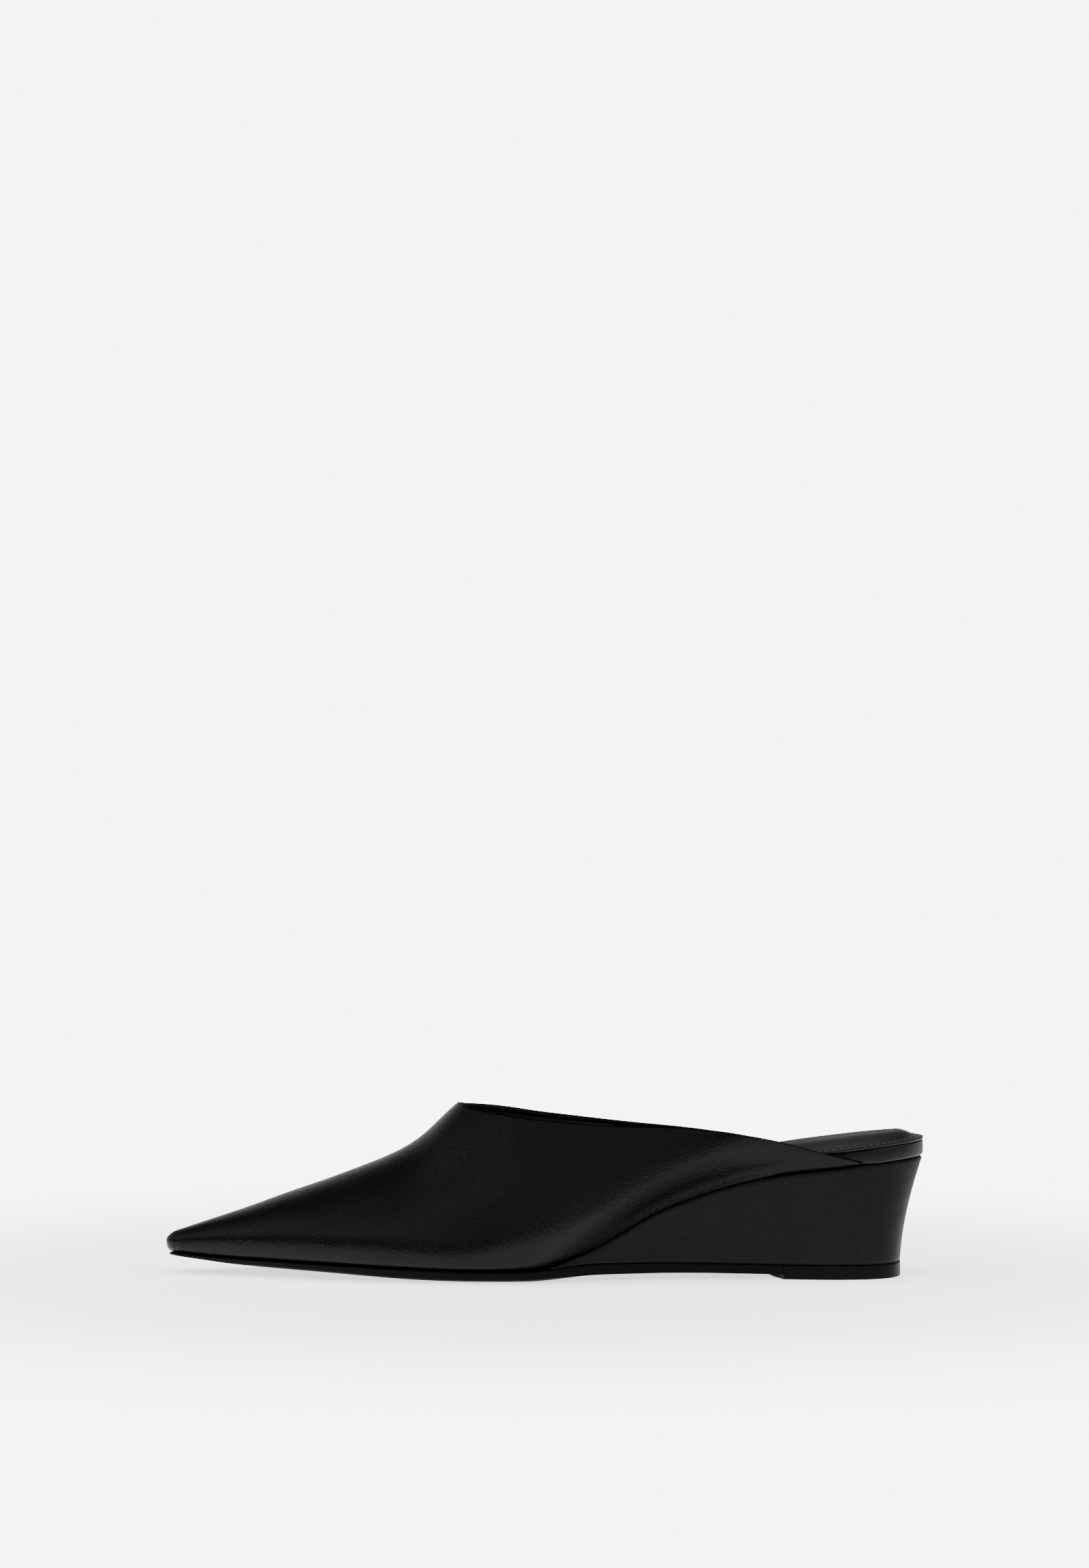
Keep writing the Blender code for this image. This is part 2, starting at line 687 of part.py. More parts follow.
def sole_end(share):
    """X of the bowed seam between outsole and lift, at a share of the width."""
    return place(OUTSOLE_END) - LIFT_BOW * (1 - (2 * share - 1) ** 2)


def tread_shares(width):
    """Shares of the width where the sole and the lift have points: close together at the rounded edges."""
    rim = min(TREAD_ROUNDING / max(width, 1e-6), TREAD_ROUNDING_LIMIT)
    edge = [0, rim / 3, 2 * rim / 3, rim, (rim + 0.5) / 2]
    return np.array(edge + [0.5] + [1 - share for share in reversed(edge)])


def make_outsole():
    """Thin sole: toe spring, a flat tread at the ball and a raised arch."""
    end = place(OUTSOLE_END)
    xs = stations()
    xs = np.append(xs[xs < end - SEAM_ROOM], end)
    rings = []
    for x in xs:
        ledge = OUTSOLE_LEDGE * ease(x, TIP, TIP + LEDGE_RUN)
        blend = grown(x, BASE_RUN)
        left, right = (half_width(side, x) + ledge for side in (LATERAL, MEDIAL))
        left += (base_half(LATERAL, x) - left) * blend
        right += (base_half(MEDIAL, x) - right) * blend
        width = left + right
        shares = tread_shares(width)
        ys = -left + width * shares
        px = x + (sole_end(shares) - end) * grown(x, SEAM_BOW_RUN)
        inset = np.minimum(shares, 1 - shares) * width
        edge = OUTSOLE_EDGE_LIFT * ease(width, LEDGE_RUN, EDGE_LIFT_WIDTH) * (1 - grown(x, EDGE_FLAT_RUN))
        lift = edge * np.clip(1 - inset / TREAD_ROUNDING, 0, 1) ** 2
        spring = np.where(px < place(SPRING[-2][0]), np.maximum(column(SPRING, 2, px), 0), 0)
        arch = ARCH_UNDERSIDE * grown(px, ARCH_RUN) - ARCH_DROP * grown(px, ARCH_DROP_RUN)
        under = spring * (TOE_SPRING - edge) + arch + lift
        top = [(a, b, sole_top(a)) for a, b in zip(px, ys)]
        bottom = [(a, b, c) for a, b, c in zip(px[::-1], ys[::-1], under[::-1])]
        rings.append(top + bottom)
    return loft("outsole", rings, SOLE_BLACK, 0.7, False, True)


def make_lift():
    """Lift under the back of the wedge, with a bowed front."""
    back = place(1.0) - HEEL_PITCH_BACK
    start = place(OUTSOLE_END) + SOLE_SEAM
    q = np.arange(LIFT_SECTIONS + 1) / LIFT_SECTIONS
    xs = start + (back - start) * np.sin(math.pi * q / 2)
    rings = []
    for x in xs:
        left, right = base_half(LATERAL, x), base_half(MEDIAL, x)
        shares = tread_shares(base_half(LATERAL, start) + base_half(MEDIAL, start))
        ys = -left + (left + right) * shares
        px = x + (sole_end(shares) - place(OUTSOLE_END)) * (1 - ease(x, start, start + BOW_RUN))
        top = [(a, b, LIFT_THICKNESS) for a, b in zip(px, ys)]
        under = [(a, b, 0) for a, b in zip(px[::-1], ys[::-1])]
        rings.append(top + under)
    return loft("top_lift", rings, SOLE_BLACK, 0.6, True, False)


def make_wedge():
    """Covered wedge: the footbed's outline above, a rounded shoulder, and a concave back."""
    back = place(1.0) - HEEL_PITCH_BACK
    nose = place(WEDGE_START)
    xs = stations()
    xs = xs[xs > nose - 1e-6]
    left, right = (np.column_stack([xs, side * half_width(side, xs)]) for side in (LATERAL, MEDIAL))
    left, right = draw_in(left, right, np.full(len(xs), WEDGE_INSET))
    rest_left, rest_right = draw_in(left, right, np.full(len(xs), WEDGE_SHOULDER_INSET))
    rings = []
    for i, x in enumerate(xs):
        low_x = nose + (back - nose) * (x - nose) / (REAR - nose)
        low_z = sole_top(min(low_x, place(OUTSOLE_END))) + CLEARANCE
        ring = [(*rest_left[i], feather(rest_left[i, 0]) - CLEARANCE)]
        down = range(WEDGE_LEVELS, -1, -1)
        for side, high, levels in ((LATERAL, left[i], down), (MEDIAL, right[i], reversed(down))):
            high_z = feather(high[0]) - CLEARANCE
            high_z -= min(WEDGE_SHOULDER, SHOULDER_LIMIT * (high_z - low_z))
            low_y = side * base_half(side, low_x)
            for level in levels:
                h = level / WEDGE_LEVELS
                flare = h ** WEDGE_CURVE
                ring.append((low_x + (high[0] - low_x) * flare, low_y + (high[1] - low_y) * flare,
                             low_z + (high_z - low_z) * h))
        ring.append((*rest_right[i], feather(rest_right[i, 0]) - CLEARANCE))
        rings.append(ring)
    return loft("wedge_heel", rings, WEDGE_BLACK, 0.6, True, False)


def centre(objects):
    """Move the shoe so that the middle of its box is over the origin and its sole is on the floor."""
    corners = np.array([v.co for obj in objects for v in obj.data.vertices])
    middle = (corners.min(axis=0) + corners.max(axis=0)) / 2
    shift = Matrix.Translation((-middle[0], -middle[1], -corners[:, 2].min()))
    for obj in objects:
        obj.data.transform(shift)


def main():
    for obj in list(bpy.data.objects):
        bpy.data.objects.remove(obj)
    makers = (make_upper, make_board, make_wrap, make_sock, make_wedge, make_outsole, make_lift)
    centre([make() for make in makers])


main()
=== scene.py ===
"""Looks of a left wedge mule: smooth black upper, padded stitched sock, covered wedge and thin sole.

The toe points to -X, the lateral side faces -Y and +Z is up. The pieces are worked out from the same sizes
and tables as the part's own solids.
"""
import math

import bmesh
import bpy
import numpy as np
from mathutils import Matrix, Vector


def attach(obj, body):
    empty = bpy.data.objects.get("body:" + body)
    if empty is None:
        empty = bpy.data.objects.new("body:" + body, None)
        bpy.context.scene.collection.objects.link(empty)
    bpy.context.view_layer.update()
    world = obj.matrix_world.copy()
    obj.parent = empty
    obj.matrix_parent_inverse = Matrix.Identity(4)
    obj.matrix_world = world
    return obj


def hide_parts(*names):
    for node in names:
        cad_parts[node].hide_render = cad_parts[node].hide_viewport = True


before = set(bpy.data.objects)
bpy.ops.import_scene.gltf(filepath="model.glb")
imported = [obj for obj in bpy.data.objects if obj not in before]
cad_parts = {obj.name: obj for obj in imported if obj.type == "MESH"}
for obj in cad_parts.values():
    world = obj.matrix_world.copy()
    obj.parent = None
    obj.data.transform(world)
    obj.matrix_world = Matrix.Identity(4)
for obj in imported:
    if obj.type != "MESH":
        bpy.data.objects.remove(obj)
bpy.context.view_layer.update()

# Driving dimensions in metres
LENGTH = 0.2642
BALL_WIDTH = 0.0758
HEEL_WIDTH = 0.0590
TOE_HEIGHT = 0.0073
BALL_HEIGHT = 0.0041
HEEL_HEIGHT = 0.0415
INSTEP_HEIGHT = 0.0880
TOE_SPRING = 0.0062

# The upper
UPPER_WALL = 0.0016
LASTING_WALL = 0.0012
LASTING_MARGIN = 0.0070
TOE_BULGE = 0.0013
SIDE_BULGE = 0.0078
WALL_RISE = 0.0140
FEATHER_TUCK = 0.0020
TOE_NOSE = 0.0028
RIM_AT_WING_TIP = 0.0009
NOSE_RUN = 0.0168
MARGIN_EASE = 0.0060
WING_FADE = 0.0400

# The footbed
BOARD_THICKNESS = 0.0034
SOCK_THICKNESS = 0.0010
SOCK_CROWN = 0.0022
WRAP_THICKNESS = 0.0011
BED_FRONT_GAP = 0.0075
SEAT_LEAD = 0.0010
SEAT_RUN = 0.0070

# The sole
OUTSOLE_LEDGE = 0.0004
OUTSOLE_EDGE_LIFT = 0.0014
TREAD_ROUNDING = 0.0075
ARCH_TOP = 0.0057
ARCH_UNDERSIDE = 0.0022
LIFT_THICKNESS = 0.0048
LIFT_BOW = 0.0050
WEDGE_INSET = 0.0005
WEDGE_SHOULDER = 0.0013
WEDGE_SHOULDER_INSET = 0.0012
WEDGE_FLARE = 0.0018
HEEL_PITCH_BACK = 0.0083
HEEL_BASE_CORNER = 0.0300
WEDGE_NOSE_HEIGHT = 0.0004
WEDGE_NOSE_RAMP = 0.0040
LEDGE_RUN = 0.0040
EDGE_LIFT_WIDTH = 0.0300
ARCH_DROP = 0.0005
BOW_RUN = 0.0120

CLEARANCE = 0.0003
BED_CLEARANCE = 0.0005
NUDGE = 0.0005
LEAST_REACH = NUDGE / 1000

# Where things start along the shoe, as shares of LENGTH from the toe
THROAT = 0.3845
LATERAL_WING_END = 0.9137
MEDIAL_WING_END = 0.8675
WRAP_START = 0.8000
WEDGE_START = 0.5080
OUTSOLE_END = 0.8105
HEEL_WIDEST = 0.8840

# Runs along the shoe over which something grows, as shares of LENGTH
CROWN_RUN = (0.6000, 0.8000)
CROWN_END_RUN = (0.9650, 0.9980)
BASE_RUN = (0.4600, 0.5600)
BASE_FLARE_RUN = (WEDGE_START, 0.7000)
ARCH_TOP_RUN = (0.4750, 0.5700)
LIFT_LEVEL_RUN = (0.5800, OUTSOLE_END)
ARCH_RUN = (0.4750, 0.6000)
ARCH_DROP_RUN = (0.6500, OUTSOLE_END)
EDGE_FLAT_RUN = (0.5000, 0.6000)
SEAM_BOW_RUN = (0.7000, OUTSOLE_END)

# Proportions
WALL_HANDLE = 0.50
TUCK_LIMIT = 0.40
MARGIN_LIMIT = 0.60
WING_THINNING = 0.30
SLANT_LIMIT = 0.4
TREAD_ROUNDING_LIMIT = 0.25
SHOULDER_LIMIT = 0.30
BASE_POWER = 3.2
WEDGE_CURVE = 1.6

# Between which places across the sock its crown rises, as shares of its half width
CROWN_ACROSS = (0.10, 0.75)

# The feather line in plan: share of LENGTH, then shares of BALL_WIDTH out to each side
FOREPART = (
    # along, lateral, medial
    (0.0087, 0.031, 0.031),
    (0.0200, 0.060, 0.058),
    (0.0530, 0.112, 0.106),
    (0.1440, 0.264, 0.244),
    (0.2350, 0.389, 0.369),
    (0.3260, 0.475, 0.449),
    (0.4130, 0.514, 0.481),
    (0.4660, 0.518, 0.455),
    (0.5190, 0.470, 0.366),
    (0.5870, 0.404, 0.284),
)

# The same behind the waist, with shares of HEEL_WIDTH
HEELPART = (
    # along, lateral, medial
    (0.6620, 0.454, 0.334),
    (0.7500, 0.438, 0.380),
    (0.8180, 0.466, 0.448),
    (0.8840, 0.500, 0.500),
    (0.9280, 0.456, 0.461),
    (0.9660, 0.345, 0.348),
    (0.9870, 0.222, 0.222),
)

# Toe spring: shares of LENGTH, of the feather's rise to TOE_HEIGHT and of the underside's rise to TOE_SPRING
SPRING = (
    # along, feather, underside
    (0.0050, 1.00, 1.00),
    (0.0530, 0.74, 0.80),
    (0.1460, 0.55, 0.58),
    (0.2370, 0.37, 0.36),
    (0.3260, 0.15, 0.10),
    (0.4000, 0.00, 0.00),
    (0.4600, 0.00, 0.00),
)

# Heel pitch: shares of LENGTH and of the rise from BALL_HEIGHT to HEEL_HEIGHT
PITCH = (
    # along, rise
    (0.4300, 0.000),
    (0.4660, 0.002),
    (0.4990, 0.018),
    (0.5450, 0.126),
    (0.5850, 0.262),
    (0.6380, 0.479),
    (0.6910, 0.634),
    (0.7510, 0.767),
    (0.8180, 0.861),
    (0.8840, 0.920),
    (0.9520, 0.973),
    (1.0000, 1.000),
)

# Top of the last: shares of LENGTH, of INSTEP_HEIGHT, and of BALL_WIDTH towards the medial side
RIDGE = (
    # along, height, medial
    (0.0148, 0.166, 0.000),
    (0.0510, 0.202, 0.008),
    (0.1050, 0.255, 0.018),
    (0.1590, 0.313, 0.030),
    (0.2130, 0.368, 0.042),
    (0.2670, 0.428, 0.052),
    (0.3030, 0.474, 0.058),
    (0.3390, 0.542, 0.064),
    (0.3660, 0.618, 0.068),
    (0.3845, 0.668, 0.070),
    (0.4320, 0.768, 0.072),
    (0.4660, 0.838, 0.070),
    (0.5000, 0.886, 0.066),
    (0.5910, 0.955, 0.050),
    (0.6820, 1.000, 0.030),
    (1.0000, 1.010, 0.000),
)

# Shape of the sections: share of LENGTH, of WALL_RISE and of the bulge, and the handles of both curves.
# The last column is how far the wall stands straight up at its foot, as a share of its rise.
SECTIONS = (
    # along, rise, bulge, flank, crown, foot, stand
    (0.0050, 0.25, 0.00, 0.56, 0.56, 0.72, 0.00),
    (0.0530, 0.38, 0.13, 0.56, 0.54, 0.70, 0.00),
    (0.1260, 0.46, 0.19, 0.55, 0.52, 0.66, 0.00),
    (0.2200, 0.46, 0.23, 0.52, 0.49, 0.66, 0.00),
    (0.3200, 0.41, 0.23, 0.47, 0.43, 0.70, 0.00),
    (0.3900, 0.42, 0.25, 0.43, 0.38, 0.70, 0.00),
    (0.4350, 0.62, 0.36, 0.41, 0.36, 0.66, 0.00),
    (0.4850, 0.90, 0.62, 0.40, 0.34, 0.46, 0.06),
    (0.5400, 1.06, 0.88, 0.40, 0.34, 0.20, 0.22),
    (0.6400, 1.14, 1.00, 0.40, 0.34, 0.06, 0.30),
    (0.7200, 1.22, 0.86, 0.41, 0.34, 0.06, 0.30),
    (0.7900, 1.24, 0.52, 0.42, 0.34, 0.22, 0.20),
    (0.8400, 1.18, 0.28, 0.43, 0.34, 0.54, 0.05),
    (0.9200, 1.05, 0.02, 0.44, 0.34, 0.70, 0.00),
)

# Topline: share of the way from the throat to the wing's end, and of the drop between them, on each side
TOPLINE = (
    # back, lateral, medial
    (0.00, 0.000, 0.000),
    (0.09, 0.080, 0.065),
    (0.20, 0.162, 0.172),
    (0.30, 0.225, 0.250),
    (0.45, 0.287, 0.362),
    (0.60, 0.343, 0.468),
    (0.70, 0.445, 0.550),
    (0.80, 0.602, 0.662),
    (0.90, 0.800, 0.800),
    (1.00, 1.000, 1.000),
)

# Mesh density
SAMPLES = 200
OUTLINE_POINTS = 4000
OUTLINE_OVERLAP = 4

LATERAL = -1
MEDIAL = 1
TIP = -LENGTH / 2 + TOE_BULGE
REAR = LENGTH / 2


def place(share):
    """X of a share of the length from the toe."""
    return (share - 0.5) * LENGTH


def spline(xs, ys, at):
    """Natural cubic spline through the points, with straight ends."""
    xs = np.asarray(xs, float)
    ys = np.asarray(ys, float)
    count = len(xs)
    step = np.diff(xs)
    slope = np.diff(ys) / step
    system = np.eye(count)
    right = np.zeros(count)
    for i in range(1, count - 1):
        system[i, i - 1:i + 2] = (step[i - 1], 2 * (step[i - 1] + step[i]), step[i])
        right[i] = 6 * (slope[i] - slope[i - 1])
    bend = np.linalg.solve(system, right)
    at = np.clip(at, xs[0], xs[-1])
    k = np.clip(np.searchsorted(xs, at) - 1, 0, count - 2)
    u = at - xs[k]
    first = slope[k] - step[k] * (2 * bend[k] + bend[k + 1]) / 6
    return ys[k] + first * u + bend[k] * u ** 2 / 2 + (bend[k + 1] - bend[k]) * u ** 3 / (6 * step[k])


def column(table, index, x):
    """One column of a table at X, by its share of the length."""
    rows = np.array(table)
    return spline(rows[:, 0], rows[:, index], np.asarray(x) / LENGTH + 0.5)


def ease(value, start, end):
    """Smooth step from 0 at start to 1 at end."""
    u = np.clip((np.asarray(value) - start) / (end - start), 0, 1)
    return u * u * (3 - 2 * u)


def grown(x, run):
    """Smooth step along the shoe over a run of shares of the length."""
    return ease(x, place(run[0]), place(run[1]))


def walked_along(path):
    """Distance along a flat path, at each of its points."""
    return np.append(0, np.cumsum(np.hypot(*np.diff(path, axis=0).T)))


def feather_outline():
    """Dense half outlines of the feather line, one smooth closed curve through the rows."""
    rows = [(place(a), lat * BALL_WIDTH, med * BALL_WIDTH) for a, lat, med in FOREPART]
    rows += [(place(a), lat * HEEL_WIDTH, med * HEEL_WIDTH) for a, lat, med in HEELPART]
    loop = [(TIP, 0.0)]
    loop += [(x, -lat) for x, lat, med in rows]
    loop += [(REAR, 0.0)]
    loop += [(x, med) for x, lat, med in reversed(rows)]
    extra = OUTLINE_OVERLAP
    points = np.array(loop[-extra:] + loop + loop[:extra + 1])
    chord = walked_along(points)
    marks = chord[extra], chord[extra + len(rows) + 1], chord[extra + len(loop)]
    halves = {}
    for side, start, end in ((LATERAL, marks[0], marks[1]), (MEDIAL, marks[2], marks[1])):
        along = np.linspace(start, end, OUTLINE_POINTS)
        xs = np.minimum(np.maximum.accumulate(spline(chord, points[:, 0], along)), REAR)
        ys = np.abs(spline(chord, points[:, 1], along))
        xs[-1] = REAR
        ys[-1] = 0
        halves[side] = xs, ys
    return halves


OUTLINE = feather_outline()


def half_width(side, x):
    """Distance of the feather line from the axis."""
    xs, ys = OUTLINE[side]
    return np.interp(x, xs, ys)


def feather(x):
    """Height of the feather line."""
    spring = np.where(np.asarray(x) < place(SPRING[-1][0]), column(SPRING, 1, x), 0)
    pitch = np.where(np.asarray(x) > place(PITCH[0][0]), column(PITCH, 1, x), 0)
    return BALL_HEIGHT + spring * (TOE_HEIGHT - BALL_HEIGHT) + pitch * (HEEL_HEIGHT - BALL_HEIGHT)


def ridge(x):
    """Point on top of the last."""
    return np.array([x, column(RIDGE, 2, x) * BALL_WIDTH, column(RIDGE, 1, x) * INSTEP_HEIGHT])


def nose_lead(x):
    """How far the top of a section lies behind its foot, which fans the sections round the toe."""
    return 2 * TOE_NOSE * (1 - ease(x, TIP - NOSE_RUN, TIP + NOSE_RUN))


def wing_end(side):
    """X of the back of a wing."""
    return place(LATERAL_WING_END if side == LATERAL else MEDIAL_WING_END)


def topline(side, x):
    """Height of the topline behind the throat."""
    top = ridge(place(THROAT))[2]
    bottom = feather(wing_end(side)) + RIM_AT_WING_TIP
    back = (x - place(THROAT)) / (wing_end(side) - place(THROAT))
    rows = np.array(TOPLINE)
    drop = spline(rows[:, 0], rows[:, 1 if side == LATERAL else 2], back)
    return top - drop * (top - bottom)


def section(side, x):
    """Frame and profile of the upper at the feather point X: foot, outward direction, slope, reach and rise.

    Reach is counted outward from the feather line, and rise from its height, up to the ridge.
    """
    foot = np.array([x, side * half_width(side, x), feather(x)])
    top = ridge(x + nose_lead(x))
    out = foot[:2] - top[:2]
    width = max(np.hypot(*out), LEAST_REACH)
    out = out / width
    bulge = TOE_BULGE + column(SECTIONS, 2, x) * (SIDE_BULGE - TOE_BULGE)
    rise = column(SECTIONS, 1, x) * WALL_RISE
    tuck = min(FEATHER_TUCK, TUCK_LIMIT * width)
    height = top[2] - foot[2]
    depth = width + bulge
    flank = column(SECTIONS, 3, x) * (height - rise)
    crown = column(SECTIONS, 4, x) * depth
    foot_end = column(SECTIONS, 5, x) * (bulge + tuck) - tuck
    stand = column(SECTIONS, 6, x) * rise
    t = np.linspace(0, 1, SAMPLES)[:, None]
    weights = np.hstack([(1 - t) ** 3, 3 * t * (1 - t) ** 2, 3 * t ** 2 * (1 - t), t ** 3])
    low = np.array([(-tuck, 0), (foot_end, stand), (bulge, WALL_HANDLE * rise), (bulge, rise)])
    high = np.array([(bulge, rise), (bulge, rise + flank), (crown - width, height), (-width, height)])
    profile = np.vstack([weights @ low, (weights @ high)[1:]])
    slope = (ridge(top[0] + NUDGE)[2] - ridge(top[0] - NUDGE)[2]) / (2 * NUDGE)
    lean = slope * out[0] * ease(profile[:, 1], rise, height) * (profile[:, 0] + width)
    profile[:, 1] += lean
    return foot, out, profile, width


def wall(side, x, walked):
    """Thickness of the upper, thin at the lasting margin and towards the wing's end."""
    body = LASTING_WALL + (UPPER_WALL - LASTING_WALL) * ease(walked, 0, MARGIN_EASE)
    return body * (1 - WING_THINNING * ease(x, wing_end(side) - WING_FADE, wing_end(side)))


def slant(side, x, out):
    """How much longer a wall's thickness is when it is measured in a section that crosses it at a slant."""
    slope = (half_width(side, x + NUDGE) - half_width(side, x - NUDGE)) / (2 * NUDGE)
    along = (out[0] + out[1] * side * slope) / math.hypot(1, slope)
    return 1 / math.sqrt(max(1 - along ** 2, SLANT_LIMIT))


def inside_reach(side, x, rise):
    """How far from the feather line the inner face of the wall lies at a rise over it."""
    foot, out, profile, width = section(side, x)
    walked = walked_along(profile)
    ahead = np.gradient(profile, axis=0)
    ahead /= np.linalg.norm(ahead, axis=1)[:, None]
    thick = wall(side, x, walked) * slant(side, x, out)
    inner = profile + np.column_stack([-ahead[:, 1], ahead[:, 0]]) * thick[:, None]
    rising = np.maximum.accumulate(inner[:, 1])
    return np.interp(rise, rising, inner[:, 0])


def bed_outline(side, xs, low, high):
    """Edge of a layer of the footbed between two rises: inside the wings, and out to the seat behind."""
    points = []
    for x in xs:
        foot, out, profile, width = section(side, x)
        inside = min(inside_reach(side, x, low), inside_reach(side, x, high)) - BED_CLEARANCE
        reach = inside * (1 - ease(x, wing_end(side) - SEAT_LEAD, wing_end(side) + SEAT_RUN))
        points.append((foot[0] + out[0] * reach, foot[1] + out[1] * reach))
    return np.array(points)


def draw_in(lateral, medial, amount):
    """The two halves of an outline moved inward along its normals."""
    path = np.concatenate([lateral, medial[-2::-1]])
    amount = np.concatenate([amount, amount[-2::-1]])
    tangent = np.gradient(path, axis=0)
    tangent /= np.linalg.norm(tangent, axis=1)[:, None]
    path = path + np.column_stack([-tangent[:, 1], tangent[:, 0]]) * amount[:, None]
    return path[:len(lateral)], path[:len(lateral) - 2:-1]


BOARD_BOTTOM = LASTING_WALL + 1.5 * CLEARANCE
BOARD_SEAT = LASTING_WALL + 0.5 * CLEARANCE
BOARD_TOP = BOARD_BOTTOM + BOARD_THICKNESS
SOCK_BOTTOM = BOARD_TOP + CLEARANCE
SOCK_EDGE_TOP = SOCK_BOTTOM + SOCK_THICKNESS


def sock_height(x, share):
    """Top of the sock over the feather line: crowned over the seat, level at its stitched edge."""
    flat = np.minimum(share, 1 - share) * 2
    crown = ease(flat, *CROWN_ACROSS) * grown(x, CROWN_RUN) * (1 - grown(x, CROWN_END_RUN))
    return SOCK_EDGE_TOP + SOCK_CROWN * crown


def base_half(side, x):
    """Half outline of the bottom of the wedge: the feather line drawn in, with a flat back."""
    back = place(1.0) - HEEL_PITCH_BACK
    start = back - HEEL_BASE_CORNER
    half = half_width(side, np.minimum(x, place(HEEL_WIDEST))) - WEDGE_FLARE * grown(x, BASE_FLARE_RUN)
    u = np.clip((x - start) / HEEL_BASE_CORNER, 0, 1)
    return half * (1 - u ** BASE_POWER) ** (1 / BASE_POWER)


def sole_top(x):
    """Height of the upper face of the outsole: under the feather line, then level under the wedge."""
    nose = place(WEDGE_START)
    room = (CLEARANCE + WEDGE_NOSE_HEIGHT) * ease(x, nose - WEDGE_NOSE_RAMP, nose - CLEARANCE)
    seat = feather(x) - CLEARANCE - room
    start = BALL_HEIGHT - CLEARANCE
    level = start + (ARCH_TOP - start) * grown(x, ARCH_TOP_RUN)
    level += (LIFT_THICKNESS - ARCH_TOP) * grown(x, LIFT_LEVEL_RUN)
    return np.where(x < place(SPRING[-1][0]), seat, np.minimum(seat, level))


def sole_end(share):
    """X of the bowed seam between outsole and lift, at a share of the width."""
    return place(OUTSOLE_END) - LIFT_BOW * (1 - (2 * share - 1) ** 2)


# Guards against dividing by nothing, and the tolerances of a mesh
SAME = 1e-9
LEAST = 1e-6
LEAST_LENGTH = 1e-12
MERGE_DISTANCE = 2e-6
DEGENERATE = 1e-6

# Fine upper
VAMP_STEPS = 120
WING_STEPS = 150
COLUMN_ROWS = 84
COLUMN_CROWDING = 1.45
COLUMN_LENGTH = 0.0300
RIM_STEPS = 8
RIM_FULLNESS = 0.55
RIM_RUN = 0.0030
CREASE_SAMPLES = 160
CREASE_FADE = 0.22
CREASE_START_RISE = 0.0025

# The lining: how proud its edge is, how far below the rim it ends, and the rises over which it sets in
LINING_STEP = 0.00035
LINING_EDGE = 0.0021
LINING_BLUR = 0.0001
LINING_RISE = (0.006, 0.010)
LINING_CREASE_RISE = (0.006, 0.012)

# Fine footbed
HEEL_SPLIT = 0.86
BED_STEPS = 190
HEEL_STEPS = 70
SOCK_COLUMNS = 64
SOCK_EVEN_SHARE = 0.35
SOCK_FRONT_GAP = 0.0005
SOCK_EDGE_RADIUS = 0.0007
SOCK_PILLOW = 0.0003
SOCK_PILLOW_RUN = 0.0030
EDGE_SAMPLE = 0.0005
EDGE_BLOCK = 2000
BAND_STEP = 0.0040
BAND_STEP_RUN = 0.0030

# The stitches of the sock and the channel that they lie in
STITCH_INSET = 0.0027
STITCH_PITCH = 0.0026
STITCH_LENGTH = 0.0019
STITCH_RADIUS = 0.00032
STITCH_RAISE = 0.25
STITCH_BLUNTNESS = 0.6
STITCH_SIDES = 8
STITCH_BANDS = 7
STITCH_FIRST_ROW = 14
CHANNEL_WIDTH = 0.0006
CHANNEL_DEPTH = 0.00022

# The wrap's section: how far each layer lies in, then layer and height over its foot, and layer and depth
# under its head
WRAP_LAYERS = (0.0, 0.12, 0.35, 0.7, 1.0)
WRAP_FOOT = ((2, 0.0), (1, 0.0002), (0, 0.0006))
WRAP_HEAD = ((0, 0.0007), (1, 0.00025), (2, 0.0), (4, 0.0))

# Fine wedge
WEDGE_STEPS = 170
WALL_LEVELS = 44
WALL_CROWDING = 1.8
SHOULDER_STEPS = 6
WEDGE_FOOT_TUCK = 0.0003
WEDGE_FOOT_RISE = 0.0004

# Fine outsole
TOE_SPLIT = 0.10
TOE_STEPS = 50
SOLE_STEPS = 200
RIM_COLUMNS = 6
SOLE_LIP = 0.0005
SOLE_UNDERCUT = 0.0007
SLIM_WIDTH = 0.012
ARCH_UNDERCUT_SHARE = 0.35
FOREPART_END_RUN = (0.44, 0.52)

# The side of the outsole from its top corner down: shares of its height, a drop in metres, and shares of
# the lip and of the undercut
SOLE_SIDE = (
    # down, drop, lip, undercut
    (0.00, 0.00000, 0.00, 0.60),
    (0.00, 0.00012, 0.00, 0.00),
    (0.12, 0.00000, 0.10, 0.00),
    (0.30, 0.00000, 0.00, 0.10),
    (0.65, 0.00000, 0.00, 0.60),
    (1.00, 0.00000, 0.00, 1.00),
)

# The lift: its side from the top down, as height and share of the edge radius that it lies in
LIFT_STEPS = 70
LIFT_COLUMNS = (0.1, 0.9, 9)
LIFT_EDGE_RADIUS = 0.0004
SEAM_SHOWN = 0.0002
LIFT_SIDE = (
    (LIFT_THICKNESS, 0.40),
    (LIFT_THICKNESS - 0.4 * LIFT_EDGE_RADIUS, 0.10),
    (LIFT_THICKNESS - LIFT_EDGE_RADIUS, 0.00),
    (LIFT_EDGE_RADIUS, 0.00),
    (0.4 * LIFT_EDGE_RADIUS, 0.25),
    (0.0, 0.80),
)

